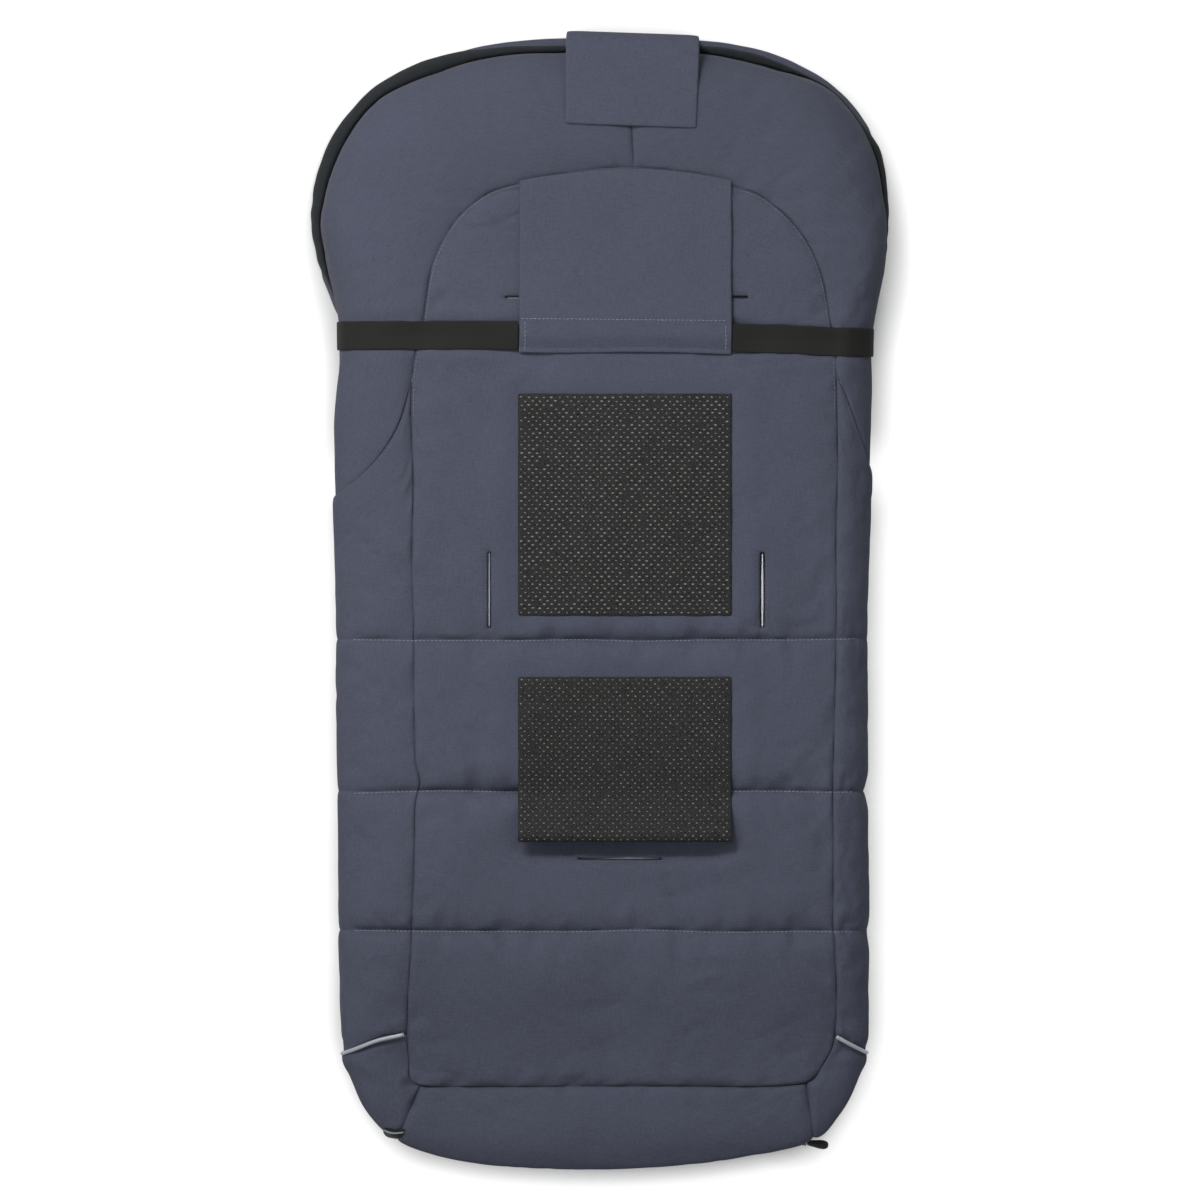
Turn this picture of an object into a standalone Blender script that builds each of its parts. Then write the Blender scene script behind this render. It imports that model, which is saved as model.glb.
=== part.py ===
"""A stroller footmuff that lies on its front, with its quilted back side up.

X runs across, Y runs towards the head end and Z runs up from the floor, in metres.
The padded walls are patches of one surface: a ring of stations round the back panel says
where each seam and each edge lies, and a section at each station runs from the back
panel's seam, over the widest line, down to the zip or to the rim of the hood.
"""
import math

import bmesh
import bpy
from mathutils import Matrix, Vector

# Overall sizes and heights over the floor
HALF_WIDTH = 0.250
HALF_LENGTH = 0.500
BACK_Z = 0.088
FOOT_DROP = 0.018
WIDEST_Z = 0.050
HOOD_WIDEST_Z = 0.026
HOOD_EDGE_Z = 0.014

# Layers of the padded walls
BACK_THICK = 0.009
WALL_THICK = 0.0056
COVER_THICK = 0.008
LINING_THICK = 0.0034
LINING_GAP = 0.0009
SEAM_GAP = 0.0004
SHOULDER_GAP = 0.0007
LINING_SEAM_GAP = 0.0040
REST_GAP = 0.0003
MERGE = 0.00003

# Quilting
BACK_PUFF = 0.0055
GUSSET_PUFF = 0.0035
HOOD_PUFF = 0.0025
FOOT_PUFF = 0.003
EDGE_ROLL = 0.030
QUILT_ROLL = 0.062
TOP_ROLL = 0.020
COVER_GROOVE = 0.0025
COVER_GROOVE_REACH = 0.012

# Zips
ZIP_Z = 0.021
TAPE_REACH = 0.006
TAPE_THICK = 0.0008
COIL_THICK = 0.0024
COIL_WIDTH = 0.0022
COIL_GAP = 0.0018
TUCK = 0.006
COVER_TOP_share = 0.200
COVER_TOP_Y = COVER_TOP_share * HALF_LENGTH
HINGE_share = -0.784
HINGE_Y = HINGE_share * HALF_LENGTH
HINGE_GAP = 0.0004
COVER_SKIRT = 0.025
HEM_WIDTH = 0.006

# The foot zip is an arc that follows the foot end panel. Its bend ties the radius to the
# two half sizes, its low share says how near it comes to the foot end, and its reach how
# far it runs out to the corners.
FOOT_ZIP_BEND_share = 5.96
FOOT_ZIP_LOW_share = -0.982
FOOT_ZIP_MIDDLE_share = 0.020
FOOT_ZIP_REACH_share = 0.7007
FOOT_ZIP_RADIUS = FOOT_ZIP_BEND_share * HALF_WIDTH * HALF_WIDTH / HALF_LENGTH
FOOT_ZIP_CENTRE = (
    FOOT_ZIP_MIDDLE_share * HALF_WIDTH,
    FOOT_ZIP_LOW_share * HALF_LENGTH + FOOT_ZIP_RADIUS,
)
FOOT_ZIP_HALF_ANGLE = math.asin(FOOT_ZIP_REACH_share * HALF_WIDTH / FOOT_ZIP_RADIUS)

# Sliders and pulls
SLIDER_LENGTH = 0.013
SLIDER_WIDTH = 0.0086
WING_GAP = 0.0016
WING_THICK = 0.001
NECK_FROM = 0.0035
NECK_LENGTH = 0.0022
NECK_WIDTH = 0.0010
BAIL_HALF_SPAN = 0.0036
BAIL_BAR = 0.0012
BAIL_WIDTH = 0.0014
BAIL_RISE = 0.0037
OVERLAP = 0.0002
PULL_LENGTH = 0.026
PULL_HALF_WIDTH = 0.0036
PULL_THICK = 0.0014
PULL_ROOT = 0.0016
PULL_HOLE_LENGTH = 0.0047
PULL_HOLE_HALF_WIDTH = 0.0020
RIBBON_LENGTH = 0.014
RIBBON_TWIST_FROM = 0.0075
GRIP_LENGTH = 0.019
GRIP_HALF_WIDTH = 0.0040
GRIP_THICK = 0.0034
SIDE_SLIDER_FROM_TOP = 0.012
SIDE_SLIDER_Y = COVER_TOP_Y - SIDE_SLIDER_FROM_TOP
FOOT_SLIDER_share = 0.92648
FOOT_SLIDER_ANGLE = FOOT_SLIDER_share * FOOT_ZIP_HALF_ANGLE
FOOT_PULL_SWING = math.radians(20.0)

# Slots through the back
SLOT_CLEAR = 0.0046
SLOT_LIP = 0.0013
HARNESS_SLOT_LENGTH = 0.066
HARNESS_SLOT_Y = 0.009
HARNESS_SLOT_LEFT_X = -0.0973
HARNESS_SLOT_RIGHT_X = 0.1427
CROTCH_SLOT_LENGTH = 0.074
CROTCH_SLOT_X = 0.0176
CROTCH_SLOT_Y = -0.227
SLIT_LENGTH = 0.213
SLIT_X = 0.0234
SLIT_Y = 0.266
LIP_PROUD = 0.0005

# Grip pads
PAD_THICK = 0.0016
PAD_LEFT_X = -0.0722
PAD_RIGHT_X = 0.1158
UPPER_PAD_TOP_Y = 0.1815
UPPER_PAD_FOOT_Y = -0.0138
LOWER_PAD_TOP_Y = -0.0673
LOWER_PAD_FOOT_Y = -0.2132
LOWER_PAD_LIFT = 0.0035
LOWER_PAD_LIFT_REACH = 0.050

# Backrest flap with the elastic strap in its hem
FLAP_LEFT_X = -0.0711
FLAP_RIGHT_X = 0.1157
FLAP_FOOT_Y = 0.2189
FLAP_CLOTH = 0.0016
FLAP_OVER_SEAM = 0.005
FLAP_ROOT_RISE = 0.0040
FLAP_RISE_POWER = 0.66
FLAP_HEM_RISE = 0.0125
HEM_TURN_Y = 0.2485
STRAP_WIDTH = 0.0254
STRAP_THICK = 0.0018
STRAP_Y = 0.2338
STRAP_SEAM_RISE = 0.0012
STRAP_END_SHARE = 0.86

# Top flap folded over the rim
TOP_FLAP_LEFT_X = -0.0307
TOP_FLAP_RIGHT_X = 0.088
TOP_FLAP_CLOTH = 0.0024
TOP_FLAP_RISE = 0.0042
TOP_FLAP_ROOT_Z = 0.004
TOP_FLAP_END_Y = 0.4992
HOOK_THICK = 0.0010
HOOK_MARGIN = 0.012
TOP_FLAP_shares = (0.125, 0.19, 0.26, 0.34, 0.42, 0.50, 0.58, 0.64, 0.69)
HOOK_TAPE_shares = (0.14, 0.19, 0.26)

# Trims
RIM_THICK = 0.0035
RIM_TAPER_STATIONS = 1.2
RIM_START_shares = (0.11, 0.25, 0.50, 0.75)
PIPING_RADIUS = 0.0014
PIPING_CLEAR = 0.0004

LEFT, RIGHT = -1, 1
SIDE_ZIP_X_share = {LEFT: -0.900, RIGHT: 0.916}

# Places round the back panel as shares of the half width (X) and half length (Y):
# inner X, inner Y on the back panel's seam, outer X, outer Y on the widest line, and how
# far the dark rim stands out past it, as a share of the half width.
LEFT_shares = (
    (0.020, -0.857, 0.020, -0.995, 0.0),
    (-0.320, -0.857, -0.360, -0.987, 0.0),
    (-0.548, -0.856, -0.560, -0.972, 0.0),
    (-0.629, -0.850, -0.714, -0.949, 0.0),
    (-0.663, -0.830, -0.820, -0.895, 0.0),
    (-0.674, -0.796, -0.878, -0.835, 0.0),
    (-0.677, -0.762, -0.904, -0.798, 0.0),
    (-0.672, -0.680, -0.906, -0.690, 0.0),
    (-0.660, -0.581, -0.910, -0.581, 0.0),
    (-0.650, -0.336, -0.914, -0.336, 0.0),
    (-0.656, -0.069, -0.919, -0.069, 0.0),
    (-0.658, 0.200, -0.924, 0.200, 0.0),
    (-0.660, 0.386, -0.914, 0.386, 0.004),
    (-0.620, 0.490, -0.916, 0.492, 0.008),
    (-0.592, 0.584, -0.962, 0.605, 0.030),
    (-0.518, 0.658, -0.983, 0.690, 0.030),
    (-0.410, 0.709, -0.904, 0.806, 0.050),
    (-0.288, 0.732, -0.719, 0.905, 0.052),
    (-0.096, 0.753, -0.380, 0.962, 0.034),
    (0.120, 0.760, 0.100, 0.973, 0.034),
)
RIGHT_shares = (
    (0.020, -0.857, 0.020, -0.995, 0.0),
    (0.380, -0.856, 0.400, -0.981, 0.0),
    (0.632, -0.855, 0.600, -0.966, 0.0),
    (0.728, -0.847, 0.752, -0.948, 0.0),
    (0.776, -0.824, 0.843, -0.894, 0.0),
    (0.812, -0.796, 0.904, -0.835, 0.0),
    (0.826, -0.766, 0.936, -0.796, 0.0),
    (0.830, -0.680, 0.936, -0.690, 0.0),
    (0.826, -0.581, 0.936, -0.581, 0.0),
    (0.818, -0.336, 0.934, -0.336, 0.0),
    (0.832, -0.069, 0.938, -0.069, 0.0),
    (0.832, 0.200, 0.944, 0.200, 0.0),
    (0.834, 0.396, 0.948, 0.390, 0.002),
    (0.810, 0.490, 0.954, 0.488, 0.004),
    (0.776, 0.580, 0.988, 0.604, 0.012),
    (0.700, 0.650, 0.998, 0.696, 0.0155),
    (0.580, 0.704, 0.944, 0.806, 0.020),
    (0.466, 0.725, 0.789, 0.909, 0.028),
    (0.300, 0.748, 0.468, 0.964, 0.030),
    (0.120, 0.760, 0.100, 0.973, 0.034),
)
RING = LEFT_shares + RIGHT_shares[-2:0:-1]

# Stations by name: the corner of the foot, the piping, three quilting seams, the
# shoulder, the end of the straight arch and the middle of the hood
CORNER, PIPING, SEAM_LOW, SEAM_MID, SEAM_HIGH = 3.0, 6.0, 8.0, 9.0, 10.0
ZIP_END, SHOULDER, HOOD_FULL, ARCH, CROWN = 11.0, 12.0, 14.0, 17.0, 19.0
SHOULDER_BLEND = 10.5
QUILT_SEAM_shares = (-0.581, -0.336, -0.069)

# The shoulder seam drops from the arch to the side, as a share of the half length, and
# its power says how it curves
SHOULDER_DROP_share = {LEFT: 0.204, RIGHT: 0.166}
SHOULDER_POWER = {LEFT: 0.5, RIGHT: 1.05}

WIDEST_share = 0.70
TUCK_TURN = math.radians(60)
SECTION_POWER = {"gusset": 2.1, "hood": 2.3}

SECTION_shares = (0.0, 0.08, 0.22, 0.38, 0.54, 0.70, 0.85, 1.0)
COLUMN_shares = (0.0, 0.025, 0.08, 0.18, 0.30, 0.40, 0.50, 0.60, 0.70, 0.82, 0.92, 0.975, 1.0)
LINING_COLUMN_shares = (0.0, 0.25, 0.50, 0.75, 1.0)

CORNER_ROWS = (3.0, 3.5, 4.0, 4.5, 5.0, 5.5, 6.0)
BODY_ROWS = (
    6.0, 6.4, 6.9, 7.4, 7.75, 7.93,
    8.0, 8.06, 8.2, 8.5, 8.8, 8.94,
    9.0, 9.06, 9.2, 9.5, 9.8, 9.94,
    10.0, 10.06, 10.15, 10.5, 11.0, 11.5, 12.0,
)
ARCH_ROWS = (12.0, 12.25, 12.5, 12.75, 13.0, 13.5, 14.0, 14.5, 15.0, 15.5, 16.0, 16.5, 17.0)
CROWN_ROWS = (17.0, 17.333, 17.667, 18.0, 18.333, 18.667, 19.0)
FOOT_ROWS = (3.0, 2.5, 2.0, 1.5, 1.0, 0.5, 0.0)
LINING_BODY_ROWS = (6.0, 6.5, 7.0, 7.5, 8.0, 9.0, 10.0, 11.0, 12.0)
LINING_ARCH_ROWS = (12.0, 12.25, 12.5, 12.75, 13.0, 14.0, 15.0, 16.0, 17.0)
LINING_CROWN_ROWS = (17.0, 18.0, 19.0)

# The covers under the body and the pull's grip
SKIRT_TURNS = tuple(math.radians(angle) for angle in (0.0, 25.0, 50.0, 72.0, 90.0))
COVER_ROW_shares = (-0.680, -0.605, -0.581, -0.557, -0.460, -0.360, -0.336, -0.312,
                    -0.200, -0.093, -0.069, -0.045, 0.080)
COVER_FLAT_shares = (0.25, 0.5, 0.75)
FOOT_COVER_ROWS = (5.3, 4.9, 4.4, 4.0, 3.5, 3.0, 2.0, 1.0, 0.0)
FOOT_FLAT_shares = (0.5, 1.0)
FOOT_FAN_share = 0.72
GRIP_shares = ((0.0, 0.45), (0.12, 0.62), (0.35, 0.80), (0.60, 0.98), (0.78, 1.0),
               (0.90, 0.86), (0.97, 0.60), (1.0, 0.30))

COLOURS = {
    "shell": ((0.083, 0.089, 0.115, 1.0), 0.88, 0.0),
    "fleece": ((0.62, 0.62, 0.68, 1.0), 0.95, 0.0),
    "black_webbing": ((0.030, 0.030, 0.028, 1.0), 0.80, 0.0),
    "rim": ((0.026, 0.029, 0.034, 1.0), 0.85, 0.0),
    "grip_mesh": ((0.022, 0.022, 0.021, 1.0), 0.70, 0.0),
    "reflective": ((0.40, 0.39, 0.39, 1.0), 0.35, 0.2),
    "zip_tape": ((0.020, 0.021, 0.024, 1.0), 0.75, 0.0),
    "zip_metal": ((0.018, 0.018, 0.019, 1.0), 0.35, 0.9),
    "ribbon": ((0.30, 0.30, 0.31, 1.0), 0.70, 0.0),
    "rubber": ((0.012, 0.012, 0.012, 1.0), 0.55, 0.0),
    "hook_tape": ((0.030, 0.031, 0.034, 1.0), 0.95, 0.0),
}


def clear_scene():
    """Takes away whatever the scene holds."""
    for thing in list(bpy.data.objects):
        bpy.data.objects.remove(thing, do_unlink=True)


def new_collection(name):
    """A collection in the scene."""
    made = bpy.data.collections.new(name)
    bpy.context.scene.collection.children.link(made)
    return made


def finish_of(name):
    """The named material, made once."""
    if name in bpy.data.materials:
        return bpy.data.materials[name]
    colour, rough, metal = COLOURS[name]
    made = bpy.data.materials.new(name)
    made.use_nodes = True
    shader = made.node_tree.nodes["Principled BSDF"]
    shader.inputs["Base Color"].default_value = colour
    shader.inputs["Roughness"].default_value = rough
    shader.inputs["Metallic"].default_value = metal
    made.diffuse_color = colour
    return made


def mix(a, b, share):
    """A value between a and b."""
    return a + (b - a) * share


def ramp(value):
    """0 below 0, 1 above 1, and a smooth step between."""
    t = min(max(value, 0.0), 1.0)
    return t * t * (3.0 - 2.0 * t)


def pinch(distance, roll):
    """How far padding has risen at a distance from the seam that holds it down."""
    rest = 1.0 - min(max(distance / roll, 0.0), 1.0)
    return 1.0 - rest * rest


def ring_row(side, s):
    """The ring's smooth values at station s on one side."""
    count = len(RING)
    place = s if side == LEFT else (count - s) % count
    i = int(math.floor(place))
    t = place - i
    a, b, c, d = (RING[(i + k) % count] for k in (-1, 0, 1, 2))
    found = []
    for p, q, r, w in zip(a, b, c, d):
        cubic = 3.0 * q - p - 3.0 * r + w
        square = 2.0 * p - 5.0 * q + 4.0 * r - w
        found.append(0.5 * (2.0 * q + (r - p) * t + square * t * t + cubic * t * t * t))
    return found


def back_height(y):
    """Height of the back panel's base surface, which drops a little to the foot."""
    seam_y = QUILT_SEAM_shares[0] * HALF_LENGTH
    foot_y = RING[0][1] * HALF_LENGTH
    return BACK_Z - FOOT_DROP * ramp((seam_y - y) / (seam_y - foot_y))


class Section:
    """The wall's section at one station, from the back seam down to its lower edge."""

    def __init__(self, side, s):
        row = ring_row(side, s)
        self.inner = Vector((row[0] * HALF_WIDTH, row[1] * HALF_LENGTH))
        self.outer = Vector((row[2] * HALF_WIDTH, row[3] * HALF_LENGTH))
        self.rim = row[4] * HALF_WIDTH
        self.out = (self.outer - self.inner).normalized()
        self.hood = ramp((s - ZIP_END) / (HOOD_FULL - ZIP_END))
        on_zip = min(max(s - PIPING + 1.0, 0.0), 1.0) * min(max(SHOULDER - s, 0.0), 1.0)
        self.lower = self.outer - self.out * TUCK * (1.0 - self.hood)
        zip_line = Vector((SIDE_ZIP_X_share[side] * HALF_WIDTH, self.outer.y))
        self.lower = self.lower.lerp(zip_line, on_zip)
        self.top_z = back_height(self.inner.y)
        self.widest_z = mix(WIDEST_Z, HOOD_WIDEST_Z, self.hood)
        self.edge_z = mix(ZIP_Z + TAPE_REACH, HOOD_EDGE_Z, self.hood)
        self.power = mix(SECTION_POWER["gusset"], SECTION_POWER["hood"], self.hood)

    def point(self, u):
        """The base surface's point and outward direction at share u of the section."""
        if u <= WIDEST_share:
            turn = u / WIDEST_share * math.pi / 2.0
            across = math.sin(turn) ** (2.0 / self.power)
            down = max(math.cos(turn), 0.0) ** (2.0 / self.power)
            plan = self.inner.lerp(self.outer, across)
            height = mix(self.widest_z, self.top_z, down)
            facing = turn
        else:
            turn = (u - WIDEST_share) / (1.0 - WIDEST_share) * TUCK_TURN
            back = (1.0 - math.cos(turn)) / (1.0 - math.cos(TUCK_TURN))
            down = math.sin(turn) / math.sin(TUCK_TURN)
            plan = self.outer.lerp(self.lower, back)
            height = mix(self.widest_z, self.edge_z, down)
            facing = math.pi / 2.0
        out = self.out * math.sin(facing)
        return Vector((plan.x, plan.y, height)), Vector((out.x, out.y, math.cos(facing)))


def station_at(side, y, low=ZIP_END - 5.0, high=SHOULDER + 1.0):
    """The station whose back seam lies at the height y of the plan."""
    for _ in range(40):
        middle = (low + high) / 2.0
        if ring_row(side, middle)[1] * HALF_LENGTH < y:
            low = middle
        else:
            high = middle
    return (low + high) / 2.0


def shoulder_station(side, u):
    """The station where the shoulder seam crosses share u of the section."""
    start_y = ring_row(side, SHOULDER)[1] * HALF_LENGTH
    turn = min(u / WIDEST_share, 1.0) * math.pi / 2.0
    across = math.sin(turn) ** (2.0 / SECTION_POWER["gusset"])
    drop = SHOULDER_DROP_share[side] * HALF_LENGTH * across ** SHOULDER_POWER[side]
    return station_at(side, start_y - drop) if u > 0.0 else SHOULDER


def quilt_share(y):
    """How far the quilting seams let the padding rise at the height y of the plan."""
    share = 1.0
    seams = [seam * HALF_LENGTH for seam in QUILT_SEAM_shares]
    for seam in seams:
        above_top = seam == seams[-1] and y > seam
        share *= pinch(abs(y - seam), TOP_ROLL if above_top else QUILT_ROLL)
    return share


def link(name, mesh, collection, finish, location=(0.0, 0.0, 0.0)):
    """An object with a mesh and a material, in a collection."""
    made = bpy.data.objects.new(name, mesh)
    made.location = location
    if finish:
        mesh.materials.clear()
        mesh.materials.append(finish_of(finish))
    collection.objects.link(made)
    return made


def mesh_from(bm, name, smooth_angle=math.radians(50)):
    """A mesh from a bmesh, facing out and shaded smooth."""
    bmesh.ops.recalc_face_normals(bm, faces=bm.faces[:])
    if bm.calc_volume(signed=True) < 0.0:
        bmesh.ops.reverse_faces(bm, faces=bm.faces[:])
    mesh = bpy.data.meshes.new(name)
    bm.to_mesh(mesh)
    bm.free()
    mesh.shade_smooth()
    mesh.set_sharp_from_angle(angle=smooth_angle)
    return mesh


def inset(grid, gaps):
    """Draws a grid's borders in by the gaps at its first and last column and row."""
    columns, rows = len(grid), len(grid[0])
    for j in range(rows):
        for edge, beside, gap in ((0, 1, gaps[0]), (columns - 1, columns - 2, gaps[1])):
            step = grid[beside][j] - grid[edge][j]
            grid[edge][j] = grid[edge][j] + step.normalized() * gap
    for i in range(columns):
        for edge, beside, gap in ((0, 1, gaps[2]), (rows - 1, rows - 2, gaps[3])):
            step = grid[i][beside] - grid[i][edge]
            grid[i][edge] = grid[i][edge] + step.normalized() * gap


def slab(name, outer, inner, collection, finish, gaps=(0.0, 0.0, 0.0, 0.0), fan=False):
    """A closed layer between two grids of points with the same count of columns and rows.

    The cells at the ends are split so that neighbours meet on the same edges; those of a
    fan are also split across, where its first and last rows lie on one line.
    """
    inset(outer, gaps)
    inset(inner, gaps)
    columns, rows = len(outer) - 1, len(outer[0]) - 1
    bm = bmesh.new()
    bmesh.ops.create_grid(bm, x_segments=columns, y_segments=rows, size=1.0)
    places = {}
    for vert in bm.verts:
        i = round((vert.co.x + 1.0) / 2.0 * columns)
        j = round((vert.co.y + 1.0) / 2.0 * rows)
        places[vert] = (i, j)
    grown = bmesh.ops.extrude_face_region(bm, geom=bm.faces[:], use_keep_orig=True)
    below = {}
    for vert in (g for g in grown["geom"] if isinstance(g, bmesh.types.BMVert)):
        i = round((vert.co.x + 1.0) / 2.0 * columns)
        j = round((vert.co.y + 1.0) / 2.0 * rows)
        vert.co = inner[i][j]
        below[i, j] = vert
    for vert, (i, j) in places.items():
        vert.co = outer[i][j]
        below[i, j] = (vert, below[i, j])
    for i in range(columns):
        for j in (0, rows):
            ends = [below[i, j][0], below[i + 1, j][1]]
            bmesh.ops.connect_verts(bm, verts=ends)
        for j, beside in ((0, 1), (rows, rows - 1)) if fan else ():
            for layer in (0, 1):
                ends = [below[i + 1, j][layer], below[i, beside][layer]]
                bmesh.ops.connect_verts(bm, verts=ends)
    return link(name, mesh_from(bm, name), collection, finish)


def drawn(name, points, closed):
    """A flat or spatial line through points, as a curve."""
    curve = bpy.data.curves.new(name, "CURVE")
    curve.dimensions = "3D"
    curve.twist_mode = "Z_UP"
    spline = curve.splines.new("POLY")
    spline.points.add(len(points) - 1)
    for knot, point in zip(spline.points, points):
        knot.co = (*point, 1.0)
    spline.use_cyclic_u = closed
    return curve


def made_solid(name, curve, collection, finish, location=(0.0, 0.0, 0.0)):
    """A mesh object from a curve's swept shape."""
    holder = bpy.data.objects.new(name + "_curve", curve)
    bpy.context.scene.collection.objects.link(holder)
    bpy.context.view_layer.update()
    graph = bpy.context.evaluated_depsgraph_get()
    mesh = bpy.data.meshes.new_from_object(holder.evaluated_get(graph))
    bpy.data.objects.remove(holder, do_unlink=True)
    bm = bmesh.new()
    bm.from_mesh(mesh)
    bpy.data.meshes.remove(mesh)
    bmesh.ops.remove_doubles(bm, verts=bm.verts[:], dist=MERGE)
    return link(name, mesh_from(bm, name), collection, finish, location)


def puffed(base, facing, amplitude, rolls, quilted=True):
    """The outer grid: the base grid raised where no seam holds the padding down."""
    columns, rows = len(base), len(base[0])
    raised = []
    for i in range(columns):
        line = []
        for j in range(rows):
            point = base[i][j]
            share = quilt_share(point.y) if quilted else 1.0
            borders = (base[0][j], base[-1][j], base[i][0], base[i][-1])
            for border, roll in zip(borders, rolls):
                if roll:
                    share *= pinch((point - border).length, roll)
            line.append(point + facing[i][j] * amplitude * share)
        raised.append(line)
    return raised


def sunk(base, facing, depth):
    """A grid parallel to the base grid, deeper in the wall."""
    return [
        [point - toward * depth for point, toward in zip(line, towards)]
        for line, towards in zip(base, facing)
    ]


def wall_grids(rows, shares):
    """Base points and outward directions for rows of (side, function of u to station)."""
    base, facing = [], []
    for u in shares:
        found = [Section(side, place(u)).point(u) for side, place in rows]
        base.append([point for point, _ in found])
        facing.append([toward for _, toward in found])
    return base, facing


def at(side, s):
    """A row that crosses the whole section at one station."""
    return side, lambda u: s


def toward_shoulder(side, low, high, share):
    """A row between station low and the shoulder seam, or from it up to station high."""
    if high is None:
        return side, lambda u: mix(low, shoulder_station(side, u), share)
    return side, lambda u: mix(shoulder_station(side, u), high, share)


def padded_wall(name, rows, thick, amplitude, rolls, collection, quilted, ends):
    """A padded piece of the wall, with its seams and the gaps at its two ends drawn in."""
    base, facing = wall_grids(rows, SECTION_shares)
    outer = puffed(base, facing, amplitude, rolls, quilted)
    gaps = (SEAM_GAP / 2.0, 0.0, ends[0] / 2.0, ends[1] / 2.0)
    return slab(name, outer, sunk(base, facing, thick), collection, "shell", gaps)


def wall_lining(name, rows, thick, collection):
    """The fleece behind a padded piece of the wall."""
    base, facing = wall_grids(rows, SECTION_shares)
    top = sunk(base, facing, thick + LINING_GAP)
    bottom = sunk(base, facing, thick + LINING_GAP + LINING_THICK)
    half = LINING_SEAM_GAP / 2.0
    return slab(name, top, bottom, collection, "fleece", (half, half, half, half))


def gusset_rows(side, body_rows):
    """Rows of a gusset, from the piping to the shoulder seam."""
    rows = [at(side, s) for s in body_rows if s <= SHOULDER_BLEND]
    low = max(s for s in body_rows if s <= SHOULDER_BLEND)
    rest = [s for s in body_rows if s > low]
    for s in rest:
        rows.append(toward_shoulder(side, low, None, (s - low) / (SHOULDER - low)))
    return rows


def hood_rows(side, arch_rows, crown_rows):
    """Rows of a hood panel, from the shoulder seam to the crown seam."""
    first = ARCH_ROWS[4]
    rows = []
    for s in arch_rows:
        if s < first:
            rows.append(toward_shoulder(side, None, first, (s - SHOULDER) / (first - SHOULDER)))
        else:
            rows.append(at(side, s))
    return rows + [at(side, s) for s in crown_rows[1:]]


def make_walls(parts):
    """Gussets, hood panels, the foot's pieces and the fleece behind them."""
    half_roll = EDGE_ROLL / 2.0
    for side, word in ((LEFT, "left"), (RIGHT, "right")):
        rolls = (half_roll, half_roll, EDGE_ROLL, EDGE_ROLL)
        padded_wall(f"gusset_{word}", gusset_rows(side, BODY_ROWS), WALL_THICK,
                    GUSSET_PUFF, rolls, parts, True, (SEAM_GAP, SHOULDER_GAP))
        wall_lining(f"gusset_lining_{word}", gusset_rows(side, LINING_BODY_ROWS),
                    WALL_THICK, parts)
        padded_wall(f"hood_{word}", hood_rows(side, ARCH_ROWS, CROWN_ROWS), WALL_THICK,
                    HOOD_PUFF, rolls, parts, False, (SHOULDER_GAP, SEAM_GAP))
        wall_lining(f"hood_lining_{word}",
                    hood_rows(side, LINING_ARCH_ROWS, LINING_CROWN_ROWS), WALL_THICK, parts)
        padded_wall(f"foot_corner_{word}", [at(side, s) for s in CORNER_ROWS],
                    WALL_THICK, FOOT_PUFF, rolls, parts, False, (SEAM_GAP, SEAM_GAP))
    end_rows = [at(LEFT, s) for s in FOOT_ROWS] + [at(RIGHT, s) for s in FOOT_ROWS[-2::-1]]
    padded_wall("foot_end_panel", end_rows, WALL_THICK, FOOT_PUFF,
                (half_roll, half_roll, EDGE_ROLL, EDGE_ROLL), parts, False,
                (SEAM_GAP, SEAM_GAP))
    round_rows = [at(LEFT, s) for s in CORNER_ROWS[::-2]] + end_rows[2:-2:2]
    round_rows += [at(RIGHT, s) for s in CORNER_ROWS[::2]]
    wall_lining("foot_lining", round_rows, WALL_THICK, parts)


def back_grid(rows, columns, top_row, bottom_row):
    """Base points of the back panel: straight rows, bent at both ends to the seams."""
    lefts = [Section(LEFT, s).inner for s in rows]
    rights = [Section(RIGHT, s).inner for s in rows]
    last = len(rows) - 1
    base = []
    for i, w in enumerate(columns):
        line = []
        for j in range(len(rows)):
            plan = lefts[j].lerp(rights[j], w)
            top_pull = ramp(j / last) ** 6
            foot_pull = ramp(1.0 - j / last) ** 12
            plan += (top_row[i] - lefts[last].lerp(rights[last], w)) * top_pull
            plan += (bottom_row[i] - lefts[0].lerp(rights[0], w)) * foot_pull
            line.append(Vector((plan.x, plan.y, back_height(plan.y))))
        base.append(line)
    return base


def seam_row(stations):
    """Points of the back panel's seam across a crown or a foot, left to right."""
    left = [Section(LEFT, s).inner for s in stations]
    right = [Section(RIGHT, s).inner for s in stations[-2::-1]]
    return left + right


def slot_cutter(name, centre, length, along_y, cutters):
    """A cutter for a slot's binding, with a gap round it."""
    width = SLOT_CLEAR + 2.0 * SLOT_LIP + 2.0 * REST_GAP
    long = length + 2.0 * SLOT_LIP + 2.0 * REST_GAP
    size = (width, long) if along_y else (long, width)
    return box(name, centre, (size[0], size[1], BACK_Z), cutters, None)


def box(name, centre, size, collection, finish):
    """A box by its centre and size."""
    bm = bmesh.new()
    bmesh.ops.create_cube(bm, size=1.0)
    bmesh.ops.scale(bm, vec=size, verts=bm.verts[:])
    made = link(name, mesh_from(bm, name), collection, finish, centre)
    return made


def as_cutter(piece):
    """Marks a piece as a cutter that isn't part of the object."""
    piece.hide_render = True
    piece.display_type = "WIRE"
    return piece


def cut(piece, cutter, operation="DIFFERENCE"):
    """Cuts a piece with a cutter, or joins them."""
    modifier = piece.modifiers.new(cutter.name, "BOOLEAN")
    modifier.operation = operation
    modifier.object = cutter
    modifier.solver = "EXACT"


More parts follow.
